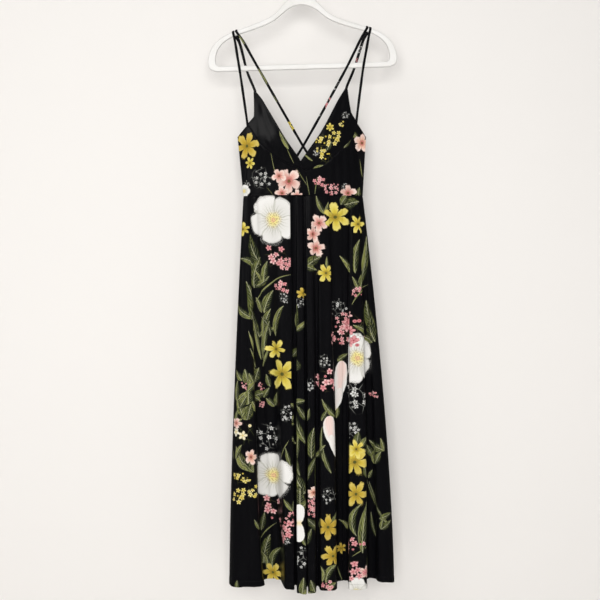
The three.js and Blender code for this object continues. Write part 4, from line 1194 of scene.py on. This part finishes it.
# How far the cloth of a front piece stands out from its plain form, by creases, gathers, edges and seams
def frontRise(x, z, fromTop, fromBottom, isCup):
    rise = creaseRise(bodiceCreases, x, z) + unevenness(x, z, bodiceWaves)
    if not isCup:
        fall = np.clip((gatherSpan["top"] - z) / (gatherSpan["top"] - cloth["waistZ"]), 0, 1)
        fade = np.sin(np.pi * mix(gatherSpan["fadeFrom"], gatherSpan["fadeTo"], fall))
        for topX, waistX, wide, height in gathers:
            rise = rise + fade * height * bump(x - mix(topX, waistX, fall), wide)
    rise = rise * smooth(0, bodice["calmEdge"], fromTop) * smooth(0, bodice["calmEdge"], fromBottom)
    if isCup:
        rise += bodice["edgeRise"] * (1 - smooth(bodice["edgeBand"] - 1, bodice["edgeBand"] + 1, fromTop))
        rise -= bodice["edgeRise"] * bump(fromTop - bodice["edgeBand"], 1)
    else:
        underCup = np.arange(x.shape[1])[None] >= bodice["wingColumns"] - 1
        isUnder = underCup * (1 - smooth(bodice["underlap"] - 0.6, bodice["underlap"] + 2.4, fromTop))
        rise -= bodice["underDepth"] * isUnder
        belowSeam = np.maximum(fromTop - bodice["underlap"], 0)
        rise -= bodice["seamTuck"] * bump(belowSeam, bodice["seamWide"]) * (1 - isUnder)
    return rise - bodice["seamTuck"] * bump(fromBottom, bodice["seamWide"])


# A cup or a midriff piece between its top and bottom edges, given as (x, z) from the side to the middle
def frontPiece(name, top, bottom, side, isCup):
    down = np.linspace(0, 1, bodice["rows"])[:, None]
    x = mix(top[:, 0][None], bottom[:, 0][None], down)
    z = mix(top[:, 1][None], bottom[:, 1][None], down)
    y = frontFace(x, z)
    if side == "left":
        y = y - overlap["lift"] * smooth(overlap["start"], overlap["full"], x)
    height = np.linalg.norm(top - bottom, axis=1)[None]
    rise = frontRise(x, z, down * height, (1 - down) * height, isCup)
    fromSide = x - atHeight(sides, 1, z) if side == "left" else atHeight(sides, 2, z) - x
    edgeY = -cloth["sideGap"] - cloth["wall"]
    outer = np.stack([x, mix(edgeY, y - rise, smooth(0, bodice["sideRoll"], fromSide)), z], -1)
    inner = outer + np.array([0, cloth["wall"], 0])
    if side == "right":
        outer, inner = outer[:, ::-1], inner[:, ::-1]
    return clothPiece(name, outer, inner, isFlat=True), outer


def makeCup(side):
    edges = frontEdges[side]
    armhole = evenPoints(edges["armhole"], bodice["armColumns"])
    top = np.vstack([armhole, evenPoints(edges["neckline"], bodice["neckColumns"])])
    clear = cloth["seamGap"] / 2 * (1 if side == "left" else -1)
    bottom = besideLine(seamUnderCup(side), clear)
    return frontPiece(f"cup_{side}", top, bottom, side, True)


def makeMidriff(side):
    edges = frontEdges[side]
    behind = bodice["underlap"] * (1 if side == "left" else -1)
    wing = evenPoints(edges["wing"], bodice["wingColumns"])[:-1]
    top = np.vstack([wing, besideLine(seamUnderCup(side), behind)])
    waistStart = sides[-1, 1 if side == "left" else 2]
    share = (top[:, 0] - top[0, 0]) / (top[-1, 0] - top[0, 0])
    bottom = np.stack([mix(waistStart, edges["waistEnd"], share), np.full(len(top), cloth["waistZ"])], 1)
    return frontPiece(f"midriff_{side}", top, bottom, side, False)


lowBack = {"dip": 100, "columns": 90, "rows": 50, "calmEdge": 12}
lowBackCreases = [
    (-110, -470, -96, -560, 5, 1), (-70, -505, -64, -562, 4, -1), (-30, -520, -34, -562, 4, 0.9),
    (12, -522, 16, -562, 3.6, -0.9), (58, -512, 54, -562, 4.4, 1), (100, -480, 92, -560, 5, -1),
]


def makeLowBack():
    down, share = np.meshgrid(
        np.linspace(0, 1, lowBack["rows"]), np.linspace(1, 0, lowBack["columns"]), indexing="ij")
    topZ = sides[0, 0] - lowBack["dip"] * (1 - (2 * share - 1) ** 2)
    z = mix(topZ, cloth["waistZ"], down)
    x = mix(atHeight(sides, 1, z), atHeight(sides, 2, z), share)
    fromTop, fromBottom = topZ - z, z - cloth["waistZ"]
    rise = creaseRise(lowBackCreases, x, z)
    rise *= smooth(0, lowBack["calmEdge"], fromTop) * smooth(0, lowBack["calmEdge"], fromBottom)
    rise += bodice["edgeRise"] * (1 - smooth(bodice["edgeBand"] - 1, bodice["edgeBand"] + 1, fromTop))
    rise -= bodice["seamTuck"] * bump(fromBottom, bodice["seamWide"])
    fromSide = np.minimum(x - atHeight(sides, 1, z), atHeight(sides, 2, z) - x)
    edgeY = cloth["sideGap"] + cloth["wall"]
    y = mix(edgeY, backInside(x, z) + cloth["cadWall"] + rise, smooth(0, bodice["sideRoll"], fromSide))
    outer = np.stack([x, y, z], -1)
    inner = outer - np.array([0, cloth["wall"], 0])
    return clothPiece("bodice_back", outer, inner, -1, isFlat=True), outer


# Hanger
hanger = {
    "tiltDegrees": 1.6, "barZ": -247, "barHalf": 6, "depth": 11, "round": 3, "peak": 152, "neckTop": 188,
    "hookRod": 3.2, "hookRadius": 23, "hookRun": 150, "hookPoints": 140, "hookSides": 20,
    "outsidePoints": 120, "insidePoints": 220, "bevelSteps": 5, "sharpDegrees": 42,
}
hangerOutside = [
    (8, 188), (14, 180), (24, 171), (37, 160), (50, 146), (64, 132), (84, 120), (108, 110), (150, 95.5),
    (172, 88), (192, 78.5), (209, 66), (222, 50), (230, 28), (231, 12), (226, 0), (212, -6),
]
hangerInside = [
    (206, 6), (212, 12), (213, 24), (208, 44), (198, 59), (186, 69), (168, 79), (140, 88), (108, 98),
    (84, 107), (66, 116), (48, 130), (34, 141), (18, 149),
]
hookStem = [(0, 0), (0, 7), (5, 16)]
hookBends = [-48, -20, 10, 40, 70, 100, 130, 160, 188, 208]
tilt = math.radians(hanger["tiltDegrees"])


def tilted(x, z):
    return x * math.cos(tilt) - z * math.sin(tilt), x * math.sin(tilt) + z * math.cos(tilt)


def mirroredHalf(half):
    right = np.array(half, float)
    return right, (right * (-1, 1))[::-1]


def makeHangerFrame():
    stations = np.linspace(0, len(hangerOutside) - 1, hanger["outsidePoints"])
    outside = np.vstack([splinePoints(half, stations) for half in mirroredHalf(hangerOutside)])
    right, left = mirroredHalf(hangerInside)
    ring = np.vstack([right, [(0, hanger["peak"])], left])
    inside = splinePoints(ring, np.linspace(0, len(ring) - 1, hanger["insidePoints"]))
    data = bpy.data.curves.new("hanger_outline", "CURVE")
    data.dimensions = "2D"
    data.fill_mode = "BOTH"
    data.extrude = (hanger["depth"] / 2 - hanger["round"]) * mm
    data.bevel_depth = hanger["round"] * mm
    data.offset = -hanger["round"] * mm
    data.bevel_resolution = hanger["bevelSteps"]
    for line in (outside, inside):
        spline = data.splines.new("POLY")
        spline.points.add(len(line) - 1)
        for point, (x, z) in zip(spline.points, line):
            point.co = (x * mm, (z + hanger["barZ"]) * mm, 0, 1)
        spline.use_cyclic_u = True
    flat = bpy.data.objects.new("hanger_outline", data)
    scene.collection.objects.link(flat)
    bpy.context.view_layer.update()
    mesh = bpy.data.meshes.new_from_object(flat.evaluated_get(bpy.context.evaluated_depsgraph_get()))
    bpy.data.objects.remove(flat)
    points = np.empty(len(mesh.vertices) * 3, np.float32)
    mesh.vertices.foreach_get("co", points)
    points = points.reshape(-1, 3)
    x, z = tilted(points[:, 0], points[:, 1])
    mesh.vertices.foreach_set("co", np.stack([x, -points[:, 2], z], 1).astype(np.float32).ravel())
    return finishPlastic("hanger_body", mesh, "hanger_frame")


# Cleans and rounds a plastic mesh and stands it in for its node
def finishPlastic(name, mesh, node):
    work = bmesh.new()
    work.from_mesh(mesh)
    bmesh.ops.remove_doubles(work, verts=work.verts, dist=1e-6)
    bmesh.ops.recalc_face_normals(work, faces=work.faces)
    work.to_mesh(mesh)
    work.free()
    mesh.name = name
    for polygon in mesh.polygons:
        polygon.use_smooth = True
    mesh.set_sharp_from_angle(angle=math.radians(hanger["sharpDegrees"]))
    mesh.materials.clear()
    mesh.materials.append(getMaterial("whitePlastic"))
    piece = bpy.data.objects.new(name, mesh)
    scene.collection.objects.link(piece)
    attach(piece, "root")
    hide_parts(node)
    return piece


# A closed tube of round sections along a line of points
def tubeMesh(name, middles, radii, sidesRound):
    level = np.tile([0.0, 1.0, 0.0], (len(middles), 1))
    beside = unit(np.cross(np.gradient(middles, axis=0), level))
    turn = np.linspace(0, 2 * np.pi, sidesRound, endpoint=False)
    ring = beside[:, None] * np.cos(turn)[None, :, None] + level[:, None] * np.sin(turn)[None, :, None]
    points = (middles[:, None] + ring * radii[:, None, None]).reshape(-1, 3)
    faces = []
    for i in range(len(middles) - 1):
        for k in range(sidesRound):
            a, b = sidesRound * i + k, sidesRound * i + (k + 1) % sidesRound
            faces.append((a, b, b + sidesRound, a + sidesRound))
    faces.append(tuple(range(sidesRound))[::-1])
    faces.append(tuple(sidesRound * (len(middles) - 1) + k for k in range(sidesRound)))
    mesh = bpy.data.meshes.new(name)
    mesh.from_pydata((points * mm).tolist(), [], faces)
    return mesh


def makeHook():
    rod, radius = hanger["hookRod"], hanger["hookRadius"]
    stem = [(x, hanger["neckTop"] + hanger["barZ"] + cloth["seamGap"] + up) for x, up in hookStem]
    angles = np.radians(hookBends)
    bends = np.stack([radius * np.cos(angles), rod - radius + radius * np.sin(angles)], 1)
    line = evenPoints(np.vstack([stem, bends]), hanger["hookPoints"])
    x, z = tilted(line[:, 0], line[:, 1])
    middles = np.stack([x, np.zeros(len(x)), z], 1)
    fromEnd = np.linspace(1, 0, len(x)) * hanger["hookRun"]
    radii = rod * np.sqrt(np.clip(1 - (1 - np.clip(fromEnd / rod, 0, 1)) ** 2, 0.02, 1))
    return finishPlastic("hook", tubeMesh("hook", middles, radii, hanger["hookSides"]), "hanger_hook")


# Straps: flat rouleaux of the same cloth, two from the point of each cup
strapSize = {
    "wide": 6.2, "thick": 1.8, "hollow": 0.35, "step": 3.2, "sides": 14, "sewn": 12, "armHeight": 24,
    "widePower": 0.75, "thickPower": 0.8,
}
# Slow swelling and thinning along a strap: length of a wave, where it starts, share
strapSwell = [(17, 0, 0.05), (7.3, 1, 0.04)]
wrapAngles = [10, 30, 60, 90, 120, 150, 170]
overArm = {"rise": 5.2, "square": 0.75}
barRoom = 2
crossing = (7.4, -439.4)
apexes = {"left": (-109.5, -310), "right": (112.6, -303.4)}
straps = {
    "strap_left_outer": {
        "apex": "left", "arm": -168, "stretch": -161, "bar": -147, "back": (-121, -463), "under": 0,
    },
    "strap_left_crossed": {
        "apex": "left", "arm": -160.6, "stretch": -161, "bar": -98.5, "back": (52, -522), "under": 2.4,
        "meet": 9,
    },
    "strap_right_outer": {
        "apex": "right", "arm": 167.6, "stretch": 161, "bar": 154.4, "back": (131, -463), "under": 0,
    },
    "strap_right_crossed": {
        "apex": "right", "arm": 160.2, "stretch": 161, "bar": 113, "back": (-36, -522), "under": 2.4,
        "meet": 12.6,
    },
}


# How far a face goes back or forward over a millimetre across
def slopeAcross(face, x, z):
    x, z = np.array([x - 1.0, x + 1.0]), np.array([z, z], float)
    low, high = face(x, z)
    return (high - low) / 2


# Height and slope of the hanger's upper edge at a place along its arm
def armTop(x):
    edge = np.array(hangerOutside, float)[:16]
    spot = int(np.argmax(edge[:, 0] >= abs(x)))
    (fromX, fromZ), (toX, toZ) = edge[spot - 1], edge[spot]
    slope = math.atan2(toZ - fromZ, toX - fromX)
    height = hanger["barZ"] + mix(fromZ, toZ, (abs(x) - fromX) / (toX - fromX))
    return height, math.copysign(1, x) * slope


# A strap's middle line as rows of x, y, z and how its width leans in y and in z: from inside the cup up
# behind the bar, over the arm, down in front of the bar and back to the low back's inside
def strapRoute(settings):
    half = strapSize["thick"] / 2
    clear = hanger["depth"] / 2 + cloth["seamGap"] + half
    topZ, slope = armTop(settings["arm"])
    lean = math.tan(slope + tilt)
    armX, armZ = tilted(settings["arm"], topZ)
    under = settings["under"]

    def barUnder(x):
        return hanger["barZ"] + x * math.sin(tilt) - hanger["barHalf"] - barRoom

    def sewnToCup(x, z):
        face = float(frontFace(np.array([float(x)]), np.array([float(z)]))[0])
        y = face + cloth["cadWall"] + cloth["seamGap"] + half + under
        return (x, y, z, slopeAcross(frontFace, x, z), 0)

    apexX, apexZ = apexes[settings["apex"]]

    def stretchX(z):
        return mix(apexX, tilted(settings["stretch"], topZ)[0], (z - apexZ) / (armZ - apexZ))

    low = armZ - strapSize["armHeight"]
    route = [
        sewnToCup(apexX, apexZ - strapSize["sewn"]),
        sewnToCup(apexX, apexZ),
        (stretchX(hanger["barZ"]), clear + under, barUnder(apexX), 0, 0),
        (stretchX(low), clear + under, low, 0, lean),
    ]
    for degrees in wrapAngles:
        out, up = math.cos(math.radians(degrees)), math.sin(math.radians(degrees))
        y = math.copysign(abs(out) ** overArm["square"], out)
        z = up ** overArm["square"]
        above = under * max(out, 0)
        route.append((armX, clear * y + above, armZ - hanger["round"] + overArm["rise"] * z, 0, lean))
    bar = settings["bar"]
    frontX = mix(armX, bar, strapSize["armHeight"] / (armZ - hanger["barZ"]))
    route += [
        (frontX, -clear, low, 0, 0),
        (mix(frontX, bar, 0.5), -clear, mix(low, barUnder(bar), 0.5), 0, 0),
        (bar, -clear, barUnder(bar), 0, 0),
    ]
    if "meet" in settings:
        route.append((crossing[0], settings["meet"], crossing[1], 0, 0))
    backX, backZ = settings["back"]
    wideY = slopeAcross(backInside, backX, backZ)
    for z in (backZ + strapSize["sewn"], backZ):
        y = float(backInside(np.array([float(backX)]), np.array([float(z)]))[0]) - cloth["seamGap"] - half
        route.append((backX, y, z, wideY, 0))
    return np.array(route, float)


def makeStrap(name, settings):
    route = strapRoute(settings)
    stations = [0.0]
    for row in range(1, len(route)):
        steps = math.ceil(np.linalg.norm(route[row, :3] - route[row - 1, :3]) / strapSize["step"])
        stations += [row - 1 + (i + 1) / steps for i in range(steps)]
    stations = np.minimum(np.array(stations), len(route) - 1.000001)
    middle = splinePoints(route[:, :3], stations)
    along = unit(np.gradient(middle, axis=0))
    row = stations.astype(int)
    share = (stations - row)[:, None]
    lean = mix(route[row, 3:], route[np.minimum(row + 1, len(route) - 1), 3:], share)
    wide = np.c_[np.ones(len(lean)), lean]
    wide = unit(wide - along * (wide * along).sum(1, keepdims=True))
    thick = np.cross(along, wide)
    run = lineRun(middle)
    turn = -np.arange(strapSize["sides"] + 1) / strapSize["sides"] * 2 * np.pi
    swell = 1 + sum(share * np.sin(run / length + start) for length, start, share in strapSwell)
    across, through = np.cos(turn), np.sin(turn)
    layers = []
    squareW = np.copysign(np.abs(across) ** strapSize["widePower"], across)
    squareT = np.copysign(np.abs(through) ** strapSize["thickPower"], through)
    for shrink in (0, strapSize["hollow"]):
        w = squareW * (strapSize["wide"] / 2 - shrink) * swell[:, None]
        t = squareT * (strapSize["thick"] / 2 - shrink)
        layers.append(middle[:, None] + wide[:, None] * w[..., None] + thick[:, None] * t[:, None])
    outer, inner = layers
    return clothPiece(name, outer, inner, isTube=True), run[-1], outer


# Stage: a pale wall close behind the hanger, seen from its front only, a pale floor and soft light
stage = {"wallY": 0.15, "wallHalf": 6, "floorZ": -1.78}


def makeStage():
    half, wallY, floorZ = stage["wallHalf"], stage["wallY"], stage["floorZ"]
    corners = {
        "wall": [(-half, wallY, floorZ), (half, wallY, floorZ), (half, wallY, half), (-half, wallY, half)],
        "floor": [(-half, -half, floorZ), (half, -half, floorZ), (half, half, floorZ), (-half, half, floorZ)],
    }
    for name, points in corners.items():
        mesh = bpy.data.meshes.new(name)
        mesh.from_pydata(points, [], [(0, 1, 2, 3)])
        mesh.materials.append(getMaterial(f"{name}Paint"))
        plane = bpy.data.objects.new(name, mesh)
        plane.visible_glossy = False
        scene.collection.objects.link(plane)


lights = {
    "window": {
        "place": (-1.7, -2.3, 1.1), "size": 1.9, "watts": 17, "colour": (1, 0.985, 0.96), "mirrored": True,
    },
    "front": {
        "place": (-0.1, -3.3, -0.62), "size": 1.2, "watts": 67, "colour": (1, 0.99, 0.975), "mirrored": False,
    },
}
aim = (0, 0, -0.8)
room = {"colour": (1, 0.99, 0.976), "strength": 0.325, "mirrored": 0.045}


def makeLights():
    for name, settings in lights.items():
        data = bpy.data.lights.new(name, "AREA")
        data.size = settings["size"]
        data.energy = settings["watts"]
        data.color = settings["colour"]
        lamp = bpy.data.objects.new(name, data)
        lamp.location = settings["place"]
        lamp.visible_glossy = settings["mirrored"]
        lamp.rotation_euler = (Vector(aim) - Vector(settings["place"])).to_track_quat("-Z", "Y").to_euler()
        scene.collection.objects.link(lamp)
    world = bpy.data.worlds.new("pale_room")
    world.use_nodes = True
    tree = world.node_tree
    paths = place(tree, "ShaderNodeLightPath", None, "Is Glossy Ray")
    background = tree.nodes["Background"]
    background.inputs["Color"].default_value = (*room["colour"], 1)
    dimmer = calc("MULTIPLY_ADD", paths, room["mirrored"] - room["strength"], room["strength"])
    feed(tree, background.inputs["Strength"], dimmer)
    scene.world = world
    scene.view_settings.view_transform = "Standard"
    scene.view_settings.look = "None"
    scene.cycles.use_denoising = True


makeStage()
makeLights()
print("stage and light made")

made = {}
for side in ("left", "right"):
    made[f"cup_{side}"] = makeCup(side)
    made[f"midriff_{side}"] = makeMidriff(side)
made["bodice_back"] = makeLowBack()
print("bodice made")
made["skirt_front"] = makeSkirt("skirt_front", frontFolds, frontCreases, 1)
made["skirt_back"] = makeSkirt("skirt_back", backFolds, backCreases, -1)
print("skirt made")
strapPieces = {name: makeStrap(name, settings) for name, settings in straps.items()}
print("straps made")
makeHangerFrame()
makeHook()
print("hanger made")

# Stitches: small thread beads set along the sewn lines by Geometry Nodes, each tipped along its line
stitch = {
    "spacing": 2.7, "length": 1.9, "thick": 0.42, "outwards": 0.12, "rings": 4, "segments": 6,
    "insideHem": 1.4, "insideEdge": 1.2,
}


def stitchTree():
    tree = bpy.data.node_groups.new("sewnLine", "GeometryNodeTree")
    for label, kind in {"Line": "Geometry", "Spacing": "Float", "Length": "Float", "Thick": "Float"}.items():
        tree.interface.new_socket(label, in_out="INPUT", socket_type=f"NodeSocket{kind}")
    tree.interface.new_socket("Stitches", in_out="OUTPUT", socket_type="NodeSocketGeometry")

    def node(kind, **values):
        new = tree.nodes.new(kind)
        for label, value in values.items():
            if isinstance(value, bpy.types.NodeSocket):
                tree.links.new(value, new.inputs[label])
            else:
                new.inputs[label].default_value = value
        return new

    given = tree.nodes.new("NodeGroupInput").outputs
    curve = node("GeometryNodeMeshToCurve", Mesh=given["Line"]).outputs["Curve"]
    spread = tree.nodes.new("GeometryNodeCurveToPoints")
    spread.mode = "LENGTH"
    tree.links.new(curve, spread.inputs["Curve"])
    tree.links.new(given["Spacing"], spread.inputs["Length"])
    bead = node("GeometryNodeMeshUVSphere", Segments=stitch["segments"], Rings=stitch["rings"], Radius=0.5)
    size = node("ShaderNodeCombineXYZ", X=given["Thick"], Y=given["Thick"], Z=given["Length"])
    stitched = node(
        "GeometryNodeInstanceOnPoints", Points=spread.outputs["Points"], Instance=bead.outputs["Mesh"],
        Rotation=spread.outputs["Rotation"], Scale=size.outputs["Vector"])
    loose = node("GeometryNodeRealizeInstances", Geometry=stitched.outputs["Instances"])
    painted = node("GeometryNodeSetMaterial", Geometry=loose.outputs["Geometry"])
    painted.inputs["Material"].default_value = getMaterial("blackThread")
    end = tree.nodes.new("NodeGroupOutput")
    tree.links.new(painted.outputs["Geometry"], end.inputs["Stitches"])
    return tree


# One object of stitches along lines of points
def sewLines(name, lines):
    points, edges = [], []
    for line in lines:
        start = len(points)
        points += (np.asarray(line) * mm).tolist()
        edges += [(start + i, start + i + 1) for i in range(len(line) - 1)]
    mesh = bpy.data.meshes.new(f"{name}_line")
    mesh.from_pydata(points, edges, [])
    guide = bpy.data.objects.new(f"{name}_line", mesh)
    scene.collection.objects.link(guide)
    modifier = guide.modifiers.new("sewnLine", "NODES")
    tree = bpy.data.node_groups.get("sewnLine") or stitchTree()
    modifier.node_group = tree
    given = {item.name: item.identifier for item in tree.interface.items_tree if item.in_out == "INPUT"}
    modifier[given["Spacing"]] = stitch["spacing"] * mm
    modifier[given["Length"]] = stitch["length"] * mm
    modifier[given["Thick"]] = stitch["thick"] * mm
    bpy.context.view_layer.update()
    done = bpy.data.meshes.new_from_object(guide.evaluated_get(bpy.context.evaluated_depsgraph_get()))
    guide.modifiers.remove(modifier)
    bpy.data.objects.remove(guide)
    piece = bpy.data.objects.new(name, done)
    scene.collection.objects.link(piece)
    for polygon in done.polygons:
        polygon.use_smooth = True
    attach(piece, "root")
    return piece


# A line on a piece, at a distance from its first or last row
def rowAt(name, distance, fromTop=True):
    outer = made[name][1]
    grid = outer if fromTop else outer[::-1]
    run = gridRun(grid, 0)
    normal = gridNormals(grid) * (1 if fromTop else -1)
    line = []
    for column in range(grid.shape[1]):
        spot = [np.interp(distance, run[:, column], grid[:, column, axis]) for axis in range(3)]
        row = int(np.argmin(np.abs(run[:, column] - distance)))
        line.append(np.array(spot) + normal[row, column] * stitch["outwards"])
    return np.array(line)


hem, edge = skirt["hemBand"] - stitch["insideHem"], bodice["edgeBand"] - stitch["insideEdge"]
sewLines("hem_stitches", [rowAt(name, hem, False) for name in ("skirt_front", "skirt_back")])
sewLines("edge_stitches", [rowAt(name, edge) for name in ("cup_left", "cup_right", "bodice_back")])
print("stitches sewn")

finishMaterials()
print("materials made, print layers:", printLayers)

# The cut of each cloth piece in metres, before it was gathered, folded and sewn
sheets = {
    ("cup_left", "cup_right"): {"flat": (0.2, 0.2), "area": 0.012, "held": "hung"},
    ("midriff_left", "midriff_right"): {"flat": (0.24, 0.17), "area": 0.02, "held": "gathered"},
    ("bodice_back",): {"flat": (0.31, 0.15), "area": 0.024, "held": "hung"},
    ("skirt_front", "skirt_back"): {"flat": (0.9, 0.96), "area": 0.6, "held": "hung"},
}


# What a piece measures along its cloth, for the flat sizes above
def measure(name, piece, outer):
    width, height = gridRun(outer, 1)[:, -1], gridRun(outer, 0)[-1]
    area = sum(polygon.area for polygon in piece.data.polygons) / 2
    print(f"{name}: widths {width.min():.0f} to {width.max():.0f}, heights {height.min():.0f} to "
          f"{height.max():.0f} mm, area {area:.4f}, faces {len(piece.data.polygons)}")


for names, cut in sheets.items():
    for name in names:
        piece, outer = made[name]
        measure(name, piece, outer)
for name, (piece, length, outer) in strapPieces.items():
    measure(name, piece, outer)
    round(length * mm, 3)
